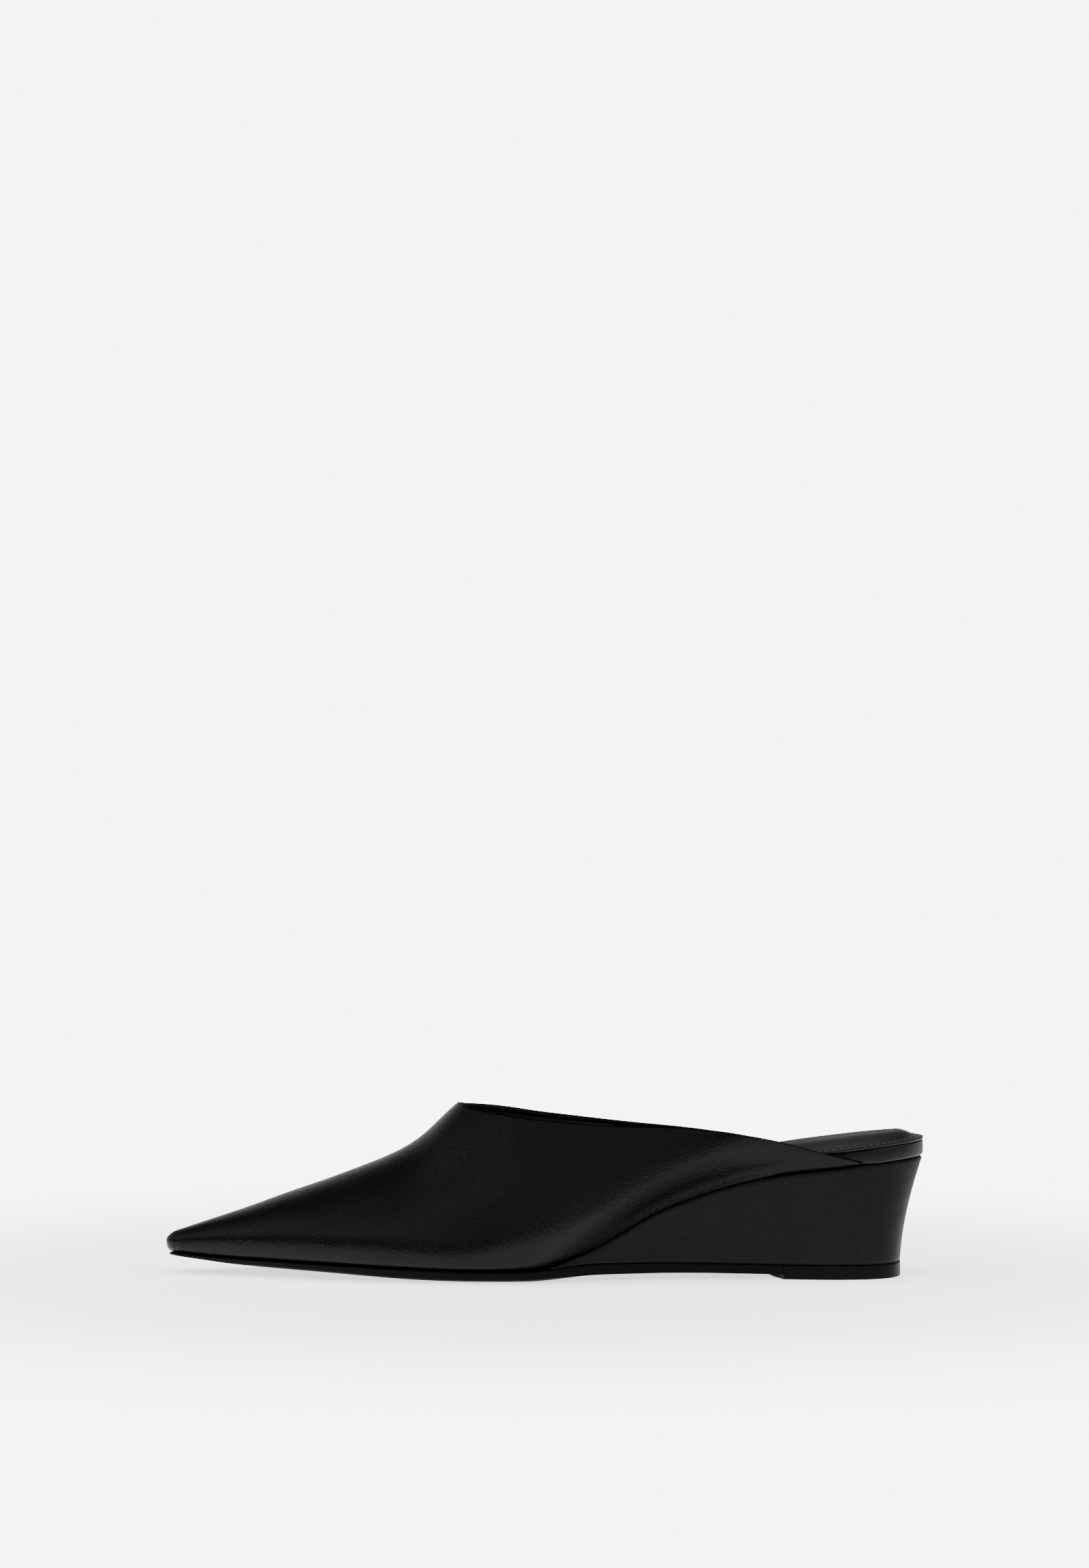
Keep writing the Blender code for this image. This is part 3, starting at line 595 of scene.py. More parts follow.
# Soft troughs and ridges of the upper, on both sides: points as shares of LENGTH and INSTEP_HEIGHT, then
# width and depth
CREASES = (
    (((0.126, 0.155), (0.194, 0.156), (0.330, 0.140), (0.397, 0.122), (0.464, 0.170), (0.532, 0.240),
      (0.596, 0.330), (0.644, 0.400), (0.712, 0.490), (0.780, 0.535)), 0.0056, 0.00050),
    (((0.585, 0.192), (0.640, 0.285), (0.700, 0.359), (0.751, 0.407), (0.818, 0.446), (0.884, 0.472)),
     0.0024, -0.00055),
    (((0.210, 0.290), (0.330, 0.315), (0.420, 0.345), (0.500, 0.420), (0.570, 0.510)), 0.0065, 0.00050),
    (((0.440, 0.560), (0.520, 0.600), (0.600, 0.610), (0.680, 0.600)), 0.0060, -0.00040),
)

# Finishes: size of a pebble of the grain and height of its relief in metres. A fleck makes pale specks.
LOOKS = {
    # slot: colour, roughness, shine, grain, depth, fleck
    "upper_leather": ((0.0006, 0.0006, 0.0007), 0.26, 0.09, 0.00115, 0.00024),
    "lining_leather": ((0.0160, 0.0160, 0.0165), 0.50, 0.30, 0.0009, 0.00004),
    "sock_leather": ((0.0036, 0.0036, 0.0038), 0.46, 0.18, 0.0011, 0.00008),
    "wrap_leather": ((0.0036, 0.0036, 0.0038), 0.44, 0.16, 0.0010, 0.00004),
    "wedge_cover": ((0.0036, 0.0036, 0.0038), 0.58, 0.08, 0.0008, 0.00006),
    "outsole": ((0.0020, 0.0020, 0.0021), 0.66, 0.035, 0.0007, 0.00008, 0.8),
    "top_lift": ((0.0016, 0.0016, 0.0017), 0.55, 0.05, 0.0006, 0.00003),
    "thread": ((0.024, 0.024, 0.025), 0.50, 0.40, 0.0004, 0.00002),
    "insole_board": ((0.020, 0.016, 0.012), 0.80, 0.10, 0.0008, 0.00005),
}
GLOSS_CHANGE = 0.1
SHADE_CHANGE = 0.18

# Scales of the noises: per pebble, apart from that of the gloss, which is per metre
WARP_SCALE = 0.35
WARP_REACH = 1.3
CRINKLE_SCALE = 2.6
CRINKLE_HEIGHT = 0.45
SHADE_SCALE = 0.4
SPECK_SCALE = 1.4
GLOSS_SCALE = 38

# Where the upper's grain is strongest: the middle and the reach of the place, and the grain beyond it
FLEX_CENTRE = (0.021, 0, 0.040)
FLEX_REACH = (0.060, 0, 0.045)
FLEX_EDGE = 0.8
FLEX_LEAST = 0.45

# The floor
FLOOR_RADIUS = 0.38
FLOOR_FADE_START = 0.14
FLOOR_RINGS = 60
FLOOR_TURNS = 96
FLOOR_GREY = 0.93
FLOOR_GLOW = 1.5

# Area lights: place, aim, size and power
LIGHTS = {
    "overhead": ((0.0, 0.20, 1.60), (0, 0, 0), (2.2, 1.8), 56),
    "front": ((0.0, -1.6, 1.5), (0, 0, 0.02), (2.0, 0.8), 5),
}

# Light of the world by its direction: between which two heights or depths it changes, and from what to what
FRONT_RISE = (0.27, 0.52, 0.0, 2.6)
FRONT_FALL = (0.60, 0.92, 1.0, 0.25)
REAR_GLOW = (0.03, 0.50, 1.3, 0.06)
REAR_SHARE = (0.05, 0.60, 0.0, 1.0)
GROUND_GLOW = (-0.45, 0.05, 0.0, 1.2)
GROUND_SHARE = (-0.06, -0.01, 1.0, 0.0)
BACKDROP = 7.0

# The camera
IMAGE_HEIGHT = 2298
FOCAL_PIXELS = 6723
SENSOR = 36.0
CAMERA_PLACE = (0, -1.6, 0.1703)


def noise(tree, place_in, scale, detail, rough=0.5):
    """Noise texture at a scale per metre."""
    node = tree.nodes.new("ShaderNodeTexNoise")
    node.inputs["Scale"].default_value = scale
    node.inputs["Detail"].default_value = detail
    node.inputs["Roughness"].default_value = rough
    tree.links.new(place_in, node.inputs["Vector"])
    return node


def ramp(tree, value, low, high, start, end, kind="LINEAR"):
    """A value that goes from start to end while the given one goes from low to high."""
    node = tree.nodes.new("ShaderNodeMapRange")
    node.interpolation_type = kind
    node.inputs["From Min"].default_value = low
    node.inputs["From Max"].default_value = high
    node.inputs["To Min"].default_value = start
    node.inputs["To Max"].default_value = end
    tree.links.new(value, node.inputs["Value"])
    return node.outputs["Result"]


def combine(tree, operation, first, second):
    """Two values put together."""
    node = tree.nodes.new("ShaderNodeMath")
    node.operation = operation
    tree.links.new(first, node.inputs[0])
    tree.links.new(second, node.inputs[1])
    return node.outputs["Value"]


def blend(tree, share, first, second):
    """The first value where the share is 0, and the second where it is 1."""
    node = tree.nodes.new("ShaderNodeMix")
    tree.links.new(share, node.inputs["Factor"])
    tree.links.new(first, node.inputs["A"])
    tree.links.new(second, node.inputs["B"])
    return node.outputs["Result"]


def material(name, colour, roughness, shine, grain, depth, fleck=0.0):
    """Leather or rubber: pebbled cells, fine crinkles and slow changes of gloss, in the object's own space.

    Grain is the size of a pebble in metres and depth the height of the relief in metres.
    """
    made = bpy.data.materials.new(name)
    made.use_nodes = True
    tree = made.node_tree
    nodes = tree.nodes
    link = tree.links.new
    surface = nodes["Principled BSDF"]
    place_in = nodes.new("ShaderNodeTexCoord").outputs["Object"]

    bent = nodes.new("ShaderNodeVectorMath")
    bent.operation = "MULTIPLY_ADD"
    link(noise(tree, place_in, WARP_SCALE / grain, 2).outputs["Color"], bent.inputs[0])
    bent.inputs[1].default_value = (grain * WARP_REACH,) * 3
    link(place_in, bent.inputs[2])
    cells = nodes.new("ShaderNodeTexVoronoi")
    cells.feature = "SMOOTH_F1"
    cells.inputs["Scale"].default_value = 1 / grain
    cells.inputs["Smoothness"].default_value = 0.6
    link(bent.outputs["Vector"], cells.inputs["Vector"])
    pebbles = ramp(tree, cells.outputs["Distance"], 0.0, 0.9, 1.0, 0.0)
    fine = noise(tree, place_in, CRINKLE_SCALE / grain, 4, 0.6).outputs["Fac"]
    crinkle = ramp(tree, fine, 0.3, 0.7, 0.0, CRINKLE_HEIGHT)
    bump = nodes.new("ShaderNodeBump")
    bump.inputs["Distance"].default_value = depth
    bump.inputs["Strength"].default_value = 1.0
    link(combine(tree, "ADD", pebbles, crinkle), bump.inputs["Height"])
    link(bump.outputs["Normal"], surface.inputs["Normal"])

    slow = noise(tree, place_in, GLOSS_SCALE, 3).outputs["Fac"]
    low, high = roughness - GLOSS_CHANGE / 2, roughness + GLOSS_CHANGE / 2
    link(ramp(tree, slow, 0.3, 0.7, low, high), surface.inputs["Roughness"])
    cloudy = noise(tree, place_in, SHADE_SCALE / grain, 3).outputs["Fac"]
    shade = ramp(tree, cloudy, 0.3, 0.7, 1 - SHADE_CHANGE, 1 + SHADE_CHANGE)
    if fleck:
        specks = noise(tree, place_in, SPECK_SCALE / grain, 2, 0.7).outputs["Fac"]
        shade = combine(tree, "MULTIPLY", shade, ramp(tree, specks, 0.52, 0.68, 1.0, 1.0 + fleck))
    tint = nodes.new("ShaderNodeVectorMath")
    tint.operation = "SCALE"
    tint.inputs[0].default_value = colour
    link(shade, tint.inputs["Scale"])
    link(tint.outputs["Vector"], surface.inputs["Base Color"])
    surface.inputs["Specular IOR Level"].default_value = shine
    return made


def flexed(made, centre, reach, least):
    """Grain that is strongest where the leather bends: full relief at a place, least beyond its reach."""
    tree = made.node_tree
    nodes = tree.nodes
    mapping = nodes.new("ShaderNodeMapping")
    spread = nodes.new("ShaderNodeTexGradient")
    spread.gradient_type = "SPHERICAL"
    scale = [1 / r if r else 0 for r in reach]
    mapping.inputs["Scale"].default_value = scale
    mapping.inputs["Location"].default_value = [-c * s for c, s in zip(centre, scale)]
    tree.links.new(nodes["Texture Coordinate"].outputs["Object"], mapping.inputs["Vector"])
    tree.links.new(mapping.outputs["Vector"], spread.inputs["Vector"])
    level = ramp(tree, spread.outputs["Fac"], 0.0, FLEX_EDGE, least, 1.0, "SMOOTHSTEP")
    tree.links.new(level, nodes["Bump"].inputs["Strength"])


def mesh_object(name, points, faces, materials, kinds=None):
    """Closed mesh with merged points and outward faces. Kinds gives each face's material."""
    bm = bmesh.new()
    verts = [bm.verts.new(p) for p in points]
    for k, face in enumerate(faces):
        corners = list(dict.fromkeys(face))
        if len(corners) > 2:
            made = bm.faces.new([verts[i] for i in corners])
            made.material_index = kinds[k] if kinds is not None else 0
            made.smooth = True
    bmesh.ops.remove_doubles(bm, verts=bm.verts, dist=MERGE_DISTANCE)
    bmesh.ops.dissolve_degenerate(bm, edges=bm.edges, dist=DEGENERATE)
    bmesh.ops.recalc_face_normals(bm, faces=bm.faces)
    mesh = bpy.data.meshes.new(name)
    bm.to_mesh(mesh)
    bm.free()
    for item in materials:
        mesh.materials.append(item)
    obj = bpy.data.objects.new(name, mesh)
    bpy.context.scene.collection.objects.link(obj)
    return obj


def ring_mesh(name, rings, materials, first_cap=True, last_cap=True):
    """Solid through closed rings of points."""
    rings = np.array(rings)
    count, size = rings.shape[:2]
    faces = []
    for i in range(count - 1):
        for j in range(size):
            k = (j + 1) % size
            faces.append((i * size + j, i * size + k, (i + 1) * size + k, (i + 1) * size + j))
    if first_cap:
        faces.append(tuple(range(size)))
    if last_cap:
        faces.append(tuple((count - 1) * size + j for j in range(size)))
    return mesh_object(name, rings.reshape(-1, 3), faces, materials)


def run(start, end, steps, crowd="none"):
    """Places from start to end, close together at one end."""
    q = np.arange(steps + 1) / steps
    if crowd == "start":
        q = 1 - np.cos(math.pi * q / 2)
    if crowd == "end":
        q = np.sin(math.pi * q / 2)
    return start + (end - start) * q


def unit(vectors):
    """Vectors of length one."""
    return vectors / np.maximum(np.linalg.norm(vectors, axis=-1), LEAST_LENGTH)[..., None]


def points_at(marks, along, path):
    """Points of a flat path at the given distances along it."""
    return np.column_stack([np.interp(marks, along, path[:, 0]), np.interp(marks, along, path[:, 1])])


def upper_side(side):
    """Grid of points of one side of the upper, its thickness, and how far each one lies below the edge."""
    throat = place(THROAT)
    vamp = run(TIP, throat, VAMP_STEPS, "start")
    wing = run(throat, wing_end(side), WING_STEPS, "start")
    grid, thick, below = [], [], []
    for x in np.append(vamp, wing[1:]):
        foot, out, profile, width = section(side, x)
        if x > throat + SAME:
            rim = 0.5 * UPPER_WALL * RIM_FULLNESS * ease(x, throat, throat + RIM_RUN)
            limit = topline(side, x) - foot[2] - rim
            reach = np.interp(limit, profile[:, 1], profile[:, 0])
            profile = np.vstack([profile[profile[:, 1] < limit - SAME], (reach, limit)])
        walked = walked_along(profile)
        crowding = 1 + (COLUMN_CROWDING - 1) * ease(walked[-1], 0, COLUMN_LENGTH)
        marks = walked[-1] * (np.arange(COLUMN_ROWS + 1) / COLUMN_ROWS) ** crowding
        margin = min(LASTING_MARGIN, MARGIN_LIMIT * width)
        reach = np.append(-margin, np.interp(marks, walked, profile[:, 0]))
        rise = np.append(0, np.interp(marks, walked, profile[:, 1]))
        points = np.column_stack([foot[0] + out[0] * reach, foot[1] + out[1] * reach, foot[2] + rise])
        points[0, 2] = feather(points[0, 0])
        grid.append(points)
        marks = np.append(0, marks)
        thick.append(wall(side, x, marks))
        below.append(marks[-1] - marks)
    return np.array(grid), np.array(thick), np.array(below)


def crease_height(points):
    """Height of the creases over the smooth surface, counted outward."""
    flat = points[:, (0, 2)]
    height = np.zeros(len(points))
    for places, width, depth in CREASES:
        line = np.array([(place(a), z * INSTEP_HEIGHT) for a, z in places])
        along = walked_along(line)
        marks = np.linspace(0, along[-1], CREASE_SAMPLES)
        curve = np.column_stack([spline(along, line[:, 0], marks), spline(along, line[:, 1], marks)])
        away = np.hypot(flat[:, None, 0] - curve[None, :, 0], flat[:, None, 1] - curve[None, :, 1])
        share = marks[away.argmin(axis=1)] / along[-1]
        fade = ease(np.minimum(share, 1 - share), 0, CREASE_FADE)
        height += depth * np.exp(-(away.min(axis=1) / width) ** 2) * fade
    return height


def rim_points(top_out, top_in, facing):
    """Points of the rounded rim between the outer and the inner edge."""
    path = (top_out + top_in) / 2
    away = unit(np.cross(unit(facing), unit(np.gradient(path, axis=0))))
    half = np.linalg.norm(top_out - top_in, axis=1) / 2
    rim = []
    for k in range(1, RIM_STEPS):
        turn = math.pi * k / RIM_STEPS
        over = (RIM_FULLNESS * math.sin(turn) * half)[:, None] * away
        rim.append(path + (top_out - path) * math.cos(turn) + over)
    return np.array(rim).transpose(1, 0, 2)


def upper_faces(count, size, edge, lined):
    """Faces of the upper with their materials: two sheets, the rim, the wings' ends and the margin."""
    faces = []
    last = count * size
    for i in range(count - 1):
        for j in range(size - 1):
            a = i * size + j
            quad = (a, a + 1, a + size + 1, a + size)
            faces.append((quad, 0))
            faces.append((tuple(last + k for k in reversed(quad)), 1 if lined[i, j] else 0))
    strips = []
    for k, i in enumerate(edge):
        first = 2 * last + k * (RIM_STEPS - 1)
        out = i * size + size - 1
        strips.append([out, *range(first, first + RIM_STEPS - 1), last + out])
    for first, second in zip(strips, strips[1:]):
        for j in range(RIM_STEPS):
            faces.append(((first[j], first[j + 1], second[j + 1], second[j]), 0))
    for i, strip in ((0, strips[0]), (count - 1, strips[-1])):
        for a in range(i * size, i * size + size - 1):
            faces.append(((a, a + 1, last + a + 1, last + a), 0))
        faces.append((tuple(strip), 0))
    for a in range(0, (count - 1) * size, size):
        faces.append(((a, a + size, last + a + size, last + a), 0))
    return faces


def make_upper(leather, lining):
    """Vamp and wings with creases, a folded rim and the edge of the lining inside the wings."""
    parts = {side: upper_side(side) for side in (LATERAL, MEDIAL)}
    sheet, thick, below = (np.concatenate([near[::-1], far[1:]])
                           for near, far in zip(parts[LATERAL], parts[MEDIAL]))
    count, size = sheet.shape[:2]
    tip = len(parts[LATERAL][0]) - 1
    first, last = tip - VAMP_STEPS, tip + VAMP_STEPS
    normals = np.cross(np.gradient(sheet, axis=1), np.gradient(sheet, axis=0))
    for i in range(first, last + 1):
        x = sheet[i, -1, 0]
        normals[i, -1] = (ridge(x - NUDGE)[2] - ridge(x + NUDGE)[2], 0, 2 * NUDGE)
    normals[:, :2] = (0, 0, -1)
    normals = unit(normals)

    rise = sheet[:, :, 2] - feather(sheet[:, :, 0])
    lift = crease_height(sheet.reshape(-1, 3)).reshape(count, size) * ease(rise, 0.0, CREASE_START_RISE)
    outer = sheet + normals * lift[:, :, None]
    in_wing = np.ones(count, bool)
    in_wing[first:last + 1] = False
    step = LINING_STEP * (1 - ease(below, LINING_EDGE - LINING_BLUR, LINING_EDGE + LINING_BLUR))
    step *= in_wing[:, None] * ease(rise, *LINING_RISE)
    depth = lift * ease(rise, *LINING_CREASE_RISE) - thick + step
    inner = sheet + normals * depth[:, :, None]

    edge = list(range(0, first + 1)) + list(range(last, count))
    rim = rim_points(outer[edge, -1], inner[edge, -1], normals[edge, -1])
    beside_wing = in_wing.copy()
    beside_wing[:-1] |= in_wing[1:]
    lined = ~beside_wing[:, None] | (below >= LINING_EDGE)
    faces = upper_faces(count, size, edge, lined)
    points = np.concatenate([outer.reshape(-1, 3), inner.reshape(-1, 3), rim.reshape(-1, 3)])
    return mesh_object("upper_skin", points, [face for face, kind in faces], (leather, lining),
                       [kind for face, kind in faces])


def bed_runs(start):
    """X of the fine sections of the footbed, close together round the heel."""
    split = place(HEEL_SPLIT)
    return np.append(run(start, split, BED_STEPS), run(split, REAR, HEEL_STEPS, "end")[1:])


def edge_distance(points, left, right):
    """Distance of points from the outline of the footbed, in plan."""
    path = np.concatenate([left, right[-2::-1]])
    along = walked_along(path)
    dense = points_at(np.arange(0, along[-1], EDGE_SAMPLE), along, path)
    nearest = np.empty(len(points))
    for i in range(0, len(points), EDGE_BLOCK):
        block = points[i:i + EDGE_BLOCK, None, :2] - dense[None]
        nearest[i:i + EDGE_BLOCK] = np.sqrt((block ** 2).sum(axis=2)).min(axis=1)
    return nearest


def sock_top(x, share, away):
    """Top of the sock: crown, rounded edge and the channel of the stitches."""
    rounding = np.clip(1 - away / SOCK_EDGE_RADIUS, 0, 1)
    edge = SOCK_EDGE_RADIUS * (1 - np.sqrt(1 - rounding ** 2))
    channel = CHANNEL_DEPTH * np.exp(-((away - STITCH_INSET) / CHANNEL_WIDTH) ** 2)
    pillow = SOCK_PILLOW * ease(away, STITCH_INSET, STITCH_INSET + SOCK_PILLOW_RUN)
    return feather(x) + sock_height(x, share) - edge - channel + pillow


def make_sock(left, right, leather):
    """Padded sock with a crowned heel and a channel for the stitches round its edge."""
    q = np.arange(SOCK_COLUMNS + 1) / SOCK_COLUMNS
    shares = SOCK_EVEN_SHARE * q + (1 - SOCK_EVEN_SHARE) * (0.5 - 0.5 * np.cos(math.pi * q))
    rows = left[:, None, :] + (right - left)[:, None, :] * shares[None, :, None]
    away = edge_distance(rows.reshape(-1, 2), left, right).reshape(rows.shape[:2])
    rings = []
    for row, distance in zip(rows, away):
        top = np.column_stack([row, sock_top(row[:, 0], shares, distance)])
        under = [(*row[k], feather(row[k, 0]) + SOCK_BOTTOM) for k in (-1, SOCK_COLUMNS // 2, 0)]
        rings.append(list(top) + under)
    return ring_mesh("sock_pad", rings, (leather,), True, False)


def make_stitches(left, right, thread):
    """Row of stitches in the sock's channel, each a short bar with blunt ends."""
    inner_left, inner_right = draw_in(left, right, np.full(len(left), STITCH_INSET))
    path = np.concatenate([inner_left[STITCH_FIRST_ROW:], inner_right[-2:STITCH_FIRST_ROW - 1:-1]])
    along = walked_along(path)
    count = int(along[-1] / STITCH_PITCH)
    marks = (np.arange(count) + 0.5) * along[-1] / count
    points, faces = [], []
    for spot, ahead in zip(points_at(marks, along, path), points_at(marks + NUDGE, along, path)):
        low, high = (np.interp(spot[0], half[:, 0], half[:, 1]) for half in (left, right))
        share = np.clip((spot[1] - low) / max(high - low, LEAST), 0, 1)
        z = sock_top(spot[0], share, STITCH_INSET) + STITCH_RAISE * STITCH_RADIUS
        axis = unit(np.array([*(ahead - spot), feather(ahead[0]) - feather(spot[0])]))
        across = unit(np.cross((0, 0, 1), axis))
        over = np.cross(axis, across)
        start = len(points)
        for b in range(STITCH_BANDS + 1):
            lean = math.pi * b / STITCH_BANDS
            middle = (spot[0], spot[1], z) - axis * 0.5 * STITCH_LENGTH * math.cos(lean)
            girth = STITCH_RADIUS * math.sin(lean) ** STITCH_BLUNTNESS if 0 < b < STITCH_BANDS else 0
            for t in range(STITCH_SIDES):
                turn = 2 * math.pi * t / STITCH_SIDES
                points.append(middle + girth * (across * math.cos(turn) + over * math.sin(turn)))
        for b in range(STITCH_BANDS):
            for t in range(STITCH_SIDES):
                a = start + b * STITCH_SIDES + t
                c = start + b * STITCH_SIDES + (t + 1) % STITCH_SIDES
                faces.append((a, c, c + STITCH_SIDES, a + STITCH_SIDES))
    return mesh_object("sock_stitches", points, faces, (thread,))


def make_wrap(leather):
    """Band of leather round the edge of the insole, with rounded edges."""
    xs = bed_runs(place(WRAP_START))
    left, right = (bed_outline(side, xs, BOARD_SEAT, BOARD_TOP) for side in (LATERAL, MEDIAL))
    layers = []
    for share in WRAP_LAYERS:
        a, b = draw_in(left, right, np.full(len(xs), WRAP_THICKNESS * share))
        layers.append(np.concatenate([a, b[-2::-1]]))
    step = wing_end(LATERAL) - BAND_STEP
    rings = []
    for k, x in enumerate(np.concatenate([xs, xs[-2::-1]])):
        low = BOARD_BOTTOM * (1 - ease(x, step, step + BAND_STEP_RUN))
        middle = (low + BOARD_TOP) / 2
        profile = [(layer, low + rise) for layer, rise in WRAP_FOOT] + [(0, middle)]
        profile += [(layer, BOARD_TOP - drop) for layer, drop in WRAP_HEAD] + [(4, low)]
        rings.append([(*layers[layer][k], feather(layers[layer][k, 0]) + z) for layer, z in profile])
    return ring_mesh("wrap_band", rings, (leather,))


def make_wedge(leather):
    """Covered wedge with a rounded shoulder."""
    back = place(1.0) - HEEL_PITCH_BACK
    nose = place(WEDGE_START)
    split = place(HEEL_SPLIT)
    xs = np.append(run(nose, split, WEDGE_STEPS), run(split, REAR, HEEL_STEPS, "end")[1:])
    left, right = (np.column_stack([xs, side * half_width(side, xs)]) for side in (LATERAL, MEDIAL))
    left, right = draw_in(left, right, np.full(len(xs), WEDGE_INSET))
    in_left, in_right = draw_in(left, right, np.ones(len(xs)))
    rings = []
    for i, x in enumerate(xs):
        low_x = nose + (back - nose) * (x - nose) / (REAR - nose)
        low_z = sole_top(min(low_x, place(OUTSOLE_END))) + CLEARANCE
        halves = []
        for side, high, inner in ((LATERAL, left[i], in_left[i]), (MEDIAL, right[i], in_right[i])):
            inward = inner - high
            top_z = feather(high[0]) - CLEARANCE
            drop = min(WEDGE_SHOULDER, SHOULDER_LIMIT * (top_z - low_z))
            low = np.array([low_x, side * base_half(side, low_x)])
            half = []
            for k in range(SHOULDER_STEPS + 1):
                turn = 0.5 * math.pi * k / SHOULDER_STEPS
                inset = WEDGE_SHOULDER_INSET * drop / WEDGE_SHOULDER * (1 - math.sin(turn))
                half.append((*(high + inward * inset), top_z - drop * (1 - math.cos(turn))))
            span = top_z - drop - low_z
            for k in range(1, WALL_LEVELS + 1):
                down = span * (k / WALL_LEVELS) ** WALL_CROWDING
                flat = low + (high - low) * (1 - down / span) ** WEDGE_CURVE
                tuck = WEDGE_FOOT_TUCK * ease(down, span - WEDGE_FOOT_RISE, span)
                half.append((*(flat + inward * tuck), top_z - drop - down))
            halves.append(half)
        rings.append(halves[0][::-1] + halves[1])
    return ring_mesh("wedge_cover", rings, (leather,), True, False)


def tread_shares(width):
    """Shares of the width where the sole has points: close together at the rounded edges."""
    rim = min(TREAD_ROUNDING / max(width, LEAST), TREAD_ROUNDING_LIMIT)
    inner = list(rim * np.arange(1, RIM_COLUMNS + 1) / RIM_COLUMNS) + [(rim + 0.5) / 2]
    return np.array([0.0] + inner + [0.5] + [1 - share for share in reversed(inner)] + [1.0])


def sole_under(x, share, width, edge):
    """Height of the underside at a share of the width: toe spring, arch and an edge that rounds up."""
    inset = np.minimum(share, 1 - share) * width
    rounding = edge * np.clip(1 - inset / TREAD_ROUNDING, 0, 1) ** 2
    spring = np.where(x < place(SPRING[-2][0]), np.maximum(column(SPRING, 2, x), 0), 0)
    arch = ARCH_UNDERSIDE * grown(x, ARCH_RUN) - ARCH_DROP * grown(x, ARCH_DROP_RUN)
    return spring * (TOE_SPRING - edge) + arch + rounding


def make_outsole(rubber):
    """Thin sole with a fine lip at its top edge and a side that leans in below it."""
    end = place(OUTSOLE_END)
    toe = place(TOE_SPLIT)
    rings = []
    for x in np.append(run(TIP, toe, TOE_STEPS, "start"), run(toe, end, SOLE_STEPS)[1:]):
        ledge = OUTSOLE_LEDGE * ease(x, TIP, TIP + LEDGE_RUN)
        left, right = (half_width(side, x) + ledge for side in (LATERAL, MEDIAL))
        left += (base_half(LATERAL, x) - left) * grown(x, BASE_RUN)
        right += (base_half(MEDIAL, x) - right) * grown(x, BASE_RUN)
        width = left + right
        shares = tread_shares(width)
        edge = OUTSOLE_EDGE_LIFT * ease(width, LEDGE_RUN, EDGE_LIFT_WIDTH) * (1 - grown(x, EDGE_FLAT_RUN))
        px = x + (sole_end(shares) - end) * grown(x, SEAM_BOW_RUN)
        top = np.column_stack([px, -left + width * shares, sole_top(px)])
        bottom = np.column_stack([px, top[:, 1], sole_under(px, shares, width, edge)])
        slim = ease(width, 0.0, SLIM_WIDTH)
        forefoot = 1 - grown(x, FOREPART_END_RUN)
        undercut = SOLE_UNDERCUT * slim * (ARCH_UNDERCUT_SHARE + (1 - ARCH_UNDERCUT_SHARE) * forefoot)
        flanks = []
        for inward, k in ((-1, -1), (1, 0)):
            flank = []
            for down, drop, lip, lean in SOLE_SIDE:
                shift = undercut * lean - SOLE_LIP * slim * lip
                z = top[k, 2] + (bottom[k, 2] - top[k, 2]) * down - drop
                flank.append((px[k], top[k, 1] + inward * shift, z))
            flanks.append(flank)
        rings.append(list(top[1:-1]) + flanks[0] + list(bottom[-2:0:-1]) + flanks[1][::-1])
    return ring_mesh("outsole_shell", rings, (rubber,), False, True)


def make_lift(rubber):
    """Lift under the back of the wedge, with softened edges and a bowed front."""
    seam = place(OUTSOLE_END)
    start = seam + SEAM_SHOWN
    rings = []
    for x in run(start, place(1.0) - HEEL_PITCH_BACK, LIFT_STEPS, "end"):
        left, right = base_half(LATERAL, x), base_half(MEDIAL, x)
        width = left + right
        trim = min(LIFT_EDGE_RADIUS, width / 4)
        ys = -left + width * np.linspace(*LIFT_COLUMNS)
        ring = [(y, LIFT_THICKNESS) for y in ys]
        ring += [(right - trim * inset, z) for z, inset in LIFT_SIDE]
        ring += [(y, 0.0) for y in ys[::-1]]
        ring += [(-left + trim * inset, z) for z, inset in LIFT_SIDE[::-1]]
        shares = [np.clip((y + left) / max(width, LEAST), 0, 1) for y, z in ring]
        pull = 1 - ease(x, start, start + BOW_RUN)
        rings.append([(x + (sole_end(share) - seam) * pull, y, z) for share, (y, z) in zip(shares, ring)])
    return ring_mesh("lift_block", rings, (rubber,), True, False)


def frame_shift():
    """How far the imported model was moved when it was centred, seen at its highest point, the throat."""
    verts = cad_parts["upper"].data.vertices
    top = max((vert.co for vert in verts), key=lambda co: co.z)
    return top - Vector(ridge(place(THROAT)))


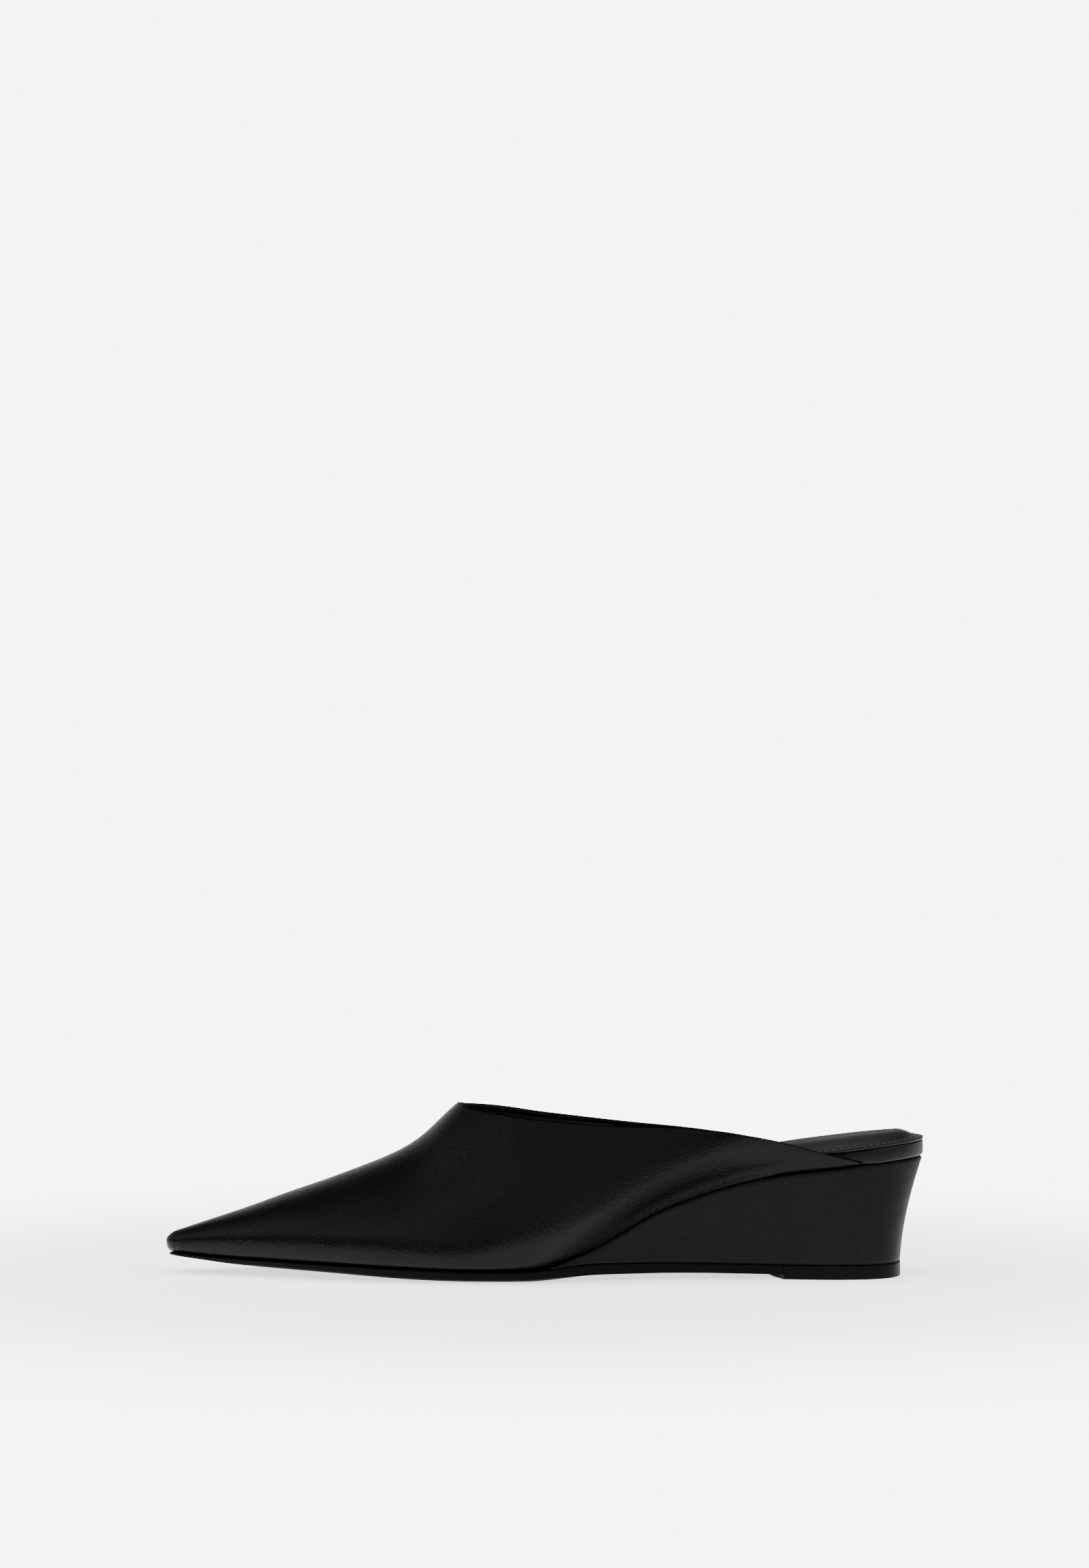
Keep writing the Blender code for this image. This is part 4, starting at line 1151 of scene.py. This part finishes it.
def make_floor():
    """Pale round floor that fades out into the backdrop."""
    points = [(0, 0, 0)]
    for i in range(1, FLOOR_RINGS + 1):
        radius = FLOOR_RADIUS * i / FLOOR_RINGS
        angles = [2 * math.pi * k / FLOOR_TURNS for k in range(FLOOR_TURNS)]
        points += [(radius * math.cos(angle), radius * math.sin(angle), 0) for angle in angles]
    faces = [(0, 1 + k, 1 + (k + 1) % FLOOR_TURNS) for k in range(FLOOR_TURNS)]
    for first in range(1, 1 + (FLOOR_RINGS - 1) * FLOOR_TURNS, FLOOR_TURNS):
        for k in range(FLOOR_TURNS):
            a, b = first + k, first + (k + 1) % FLOOR_TURNS
            faces.append((a, a + FLOOR_TURNS, b + FLOOR_TURNS, b))
    mesh = bpy.data.meshes.new("floor")
    mesh.from_pydata(points, [], faces)
    floor = bpy.data.objects.new("floor", mesh)
    bpy.context.scene.collection.objects.link(floor)
    paint = bpy.data.materials.new("floor")
    paint.use_nodes = True
    tree = paint.node_tree
    surface = tree.nodes["Principled BSDF"]
    surface.inputs["Base Color"].default_value = (FLOOR_GREY, FLOOR_GREY, FLOOR_GREY, 1)
    surface.inputs["Roughness"].default_value = 0.6
    surface.inputs["Specular IOR Level"].default_value = 0.1
    surface.inputs["Emission Color"].default_value = (1, 1, 1, 1)
    surface.inputs["Emission Strength"].default_value = FLOOR_GLOW
    far = tree.nodes.new("ShaderNodeVectorMath")
    far.operation = "LENGTH"
    tree.links.new(tree.nodes.new("ShaderNodeTexCoord").outputs["Object"], far.inputs[0])
    fade = ramp(tree, far.outputs["Value"], FLOOR_FADE_START, FLOOR_RADIUS, 1.0, 0.0, "SMOOTHSTEP")
    tree.links.new(fade, surface.inputs["Alpha"])
    mesh.materials.append(paint)


def make_lights():
    """Overhead light and a weaker front one, which don't show in the leather's gloss."""
    for name, (place_at, aim, size, power) in LIGHTS.items():
        light = bpy.data.lights.new(name, "AREA")
        light.shape = "RECTANGLE"
        light.size, light.size_y = size
        light.energy = power
        lamp = bpy.data.objects.new(name, light)
        lamp.visible_glossy = False
        lamp.location = place_at
        lamp.rotation_euler = (Vector(aim) - Vector(place_at)).to_track_quat("-Z", "Y").to_euler()
        bpy.context.scene.collection.objects.link(lamp)


def make_world():
    """White backdrop, and light in bands in front of the shoe, behind it and from below."""
    world = bpy.data.worlds.new("studio")
    bpy.context.scene.world = world
    world.use_nodes = True
    tree = world.node_tree
    nodes = tree.nodes
    split = nodes.new("ShaderNodeSeparateXYZ")
    tree.links.new(nodes.new("ShaderNodeTexCoord").outputs["Generated"], split.inputs["Vector"])
    depth, height = split.outputs["Y"], split.outputs["Z"]

    def band(value, limits):
        return ramp(tree, value, *limits, "SMOOTHSTEP")

    front = combine(tree, "MULTIPLY", band(height, FRONT_RISE), band(height, FRONT_FALL))
    around = blend(tree, band(depth, REAR_SHARE), front, band(height, REAR_GLOW))
    strength = blend(tree, band(height, GROUND_SHARE), around, band(depth, GROUND_GLOW))
    lit = nodes["Background"]
    lit.inputs["Color"].default_value = (1, 1, 1, 1)
    tree.links.new(strength, lit.inputs["Strength"])
    backdrop = nodes.new("ShaderNodeBackground")
    backdrop.inputs["Color"].default_value = (1, 1, 1, 1)
    backdrop.inputs["Strength"].default_value = BACKDROP
    both = nodes.new("ShaderNodeMixShader")
    tree.links.new(nodes.new("ShaderNodeLightPath").outputs["Is Camera Ray"], both.inputs["Fac"])
    tree.links.new(lit.outputs["Background"], both.inputs[1])
    tree.links.new(backdrop.outputs["Background"], both.inputs[2])
    tree.links.new(both.outputs["Shader"], nodes["World Output"].inputs["Surface"])


def make_camera():
    """Level camera beside the shoe, at the distance and height that give the photograph's view."""
    data = bpy.data.cameras.new("camera")
    data.sensor_fit = "VERTICAL"
    data.sensor_width = SENSOR
    data.sensor_height = SENSOR
    data.lens = FOCAL_PIXELS * SENSOR / IMAGE_HEIGHT
    data.clip_start = 0.05
    data.clip_end = 100
    camera = bpy.data.objects.new("camera", data)
    camera.location = CAMERA_PLACE
    camera.rotation_euler = (math.pi / 2, 0, 0)
    bpy.context.scene.collection.objects.link(camera)
    bpy.context.scene.camera = camera


make_camera()
make_floor()
make_lights()
make_world()

finishes = {name: material(name, *look) for name, look in LOOKS.items()}
flexed(finishes["upper_leather"], FLEX_CENTRE, FLEX_REACH, FLEX_LEAST)

sock_xs = bed_runs(TIP + BED_FRONT_GAP + SOCK_FRONT_GAP)
sock_edges = [bed_outline(side, sock_xs, SOCK_BOTTOM, SOCK_EDGE_TOP) for side in (LATERAL, MEDIAL)]
upper = make_upper(finishes["upper_leather"], finishes["lining_leather"])
sock = make_sock(*sock_edges, finishes["sock_leather"])
stitches = make_stitches(*sock_edges, finishes["thread"])
band = make_wrap(finishes["wrap_leather"])
wedge = make_wedge(finishes["wedge_cover"])
outsole = make_outsole(finishes["outsole"])
lift_block = make_lift(finishes["top_lift"])

shift = frame_shift()
for piece, node, slot in ((upper, "upper", "upper_leather"), (sock, "sock", "sock_leather"),
                          (stitches, None, "sock_leather"), (band, "insole_wrap", "wrap_leather"),
                          (wedge, "wedge_heel", "wedge_cover"), (outsole, "outsole", "outsole"),
                          (lift_block, "top_lift", "top_lift")):
    for vert in piece.data.vertices:
        vert.co += shift
    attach(piece, "root")
    if node:
        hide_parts(node)
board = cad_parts["insole_board"]
board.data.materials.clear()
board.data.materials.append(finishes["insole_board"])

bpy.context.view_layer.update()
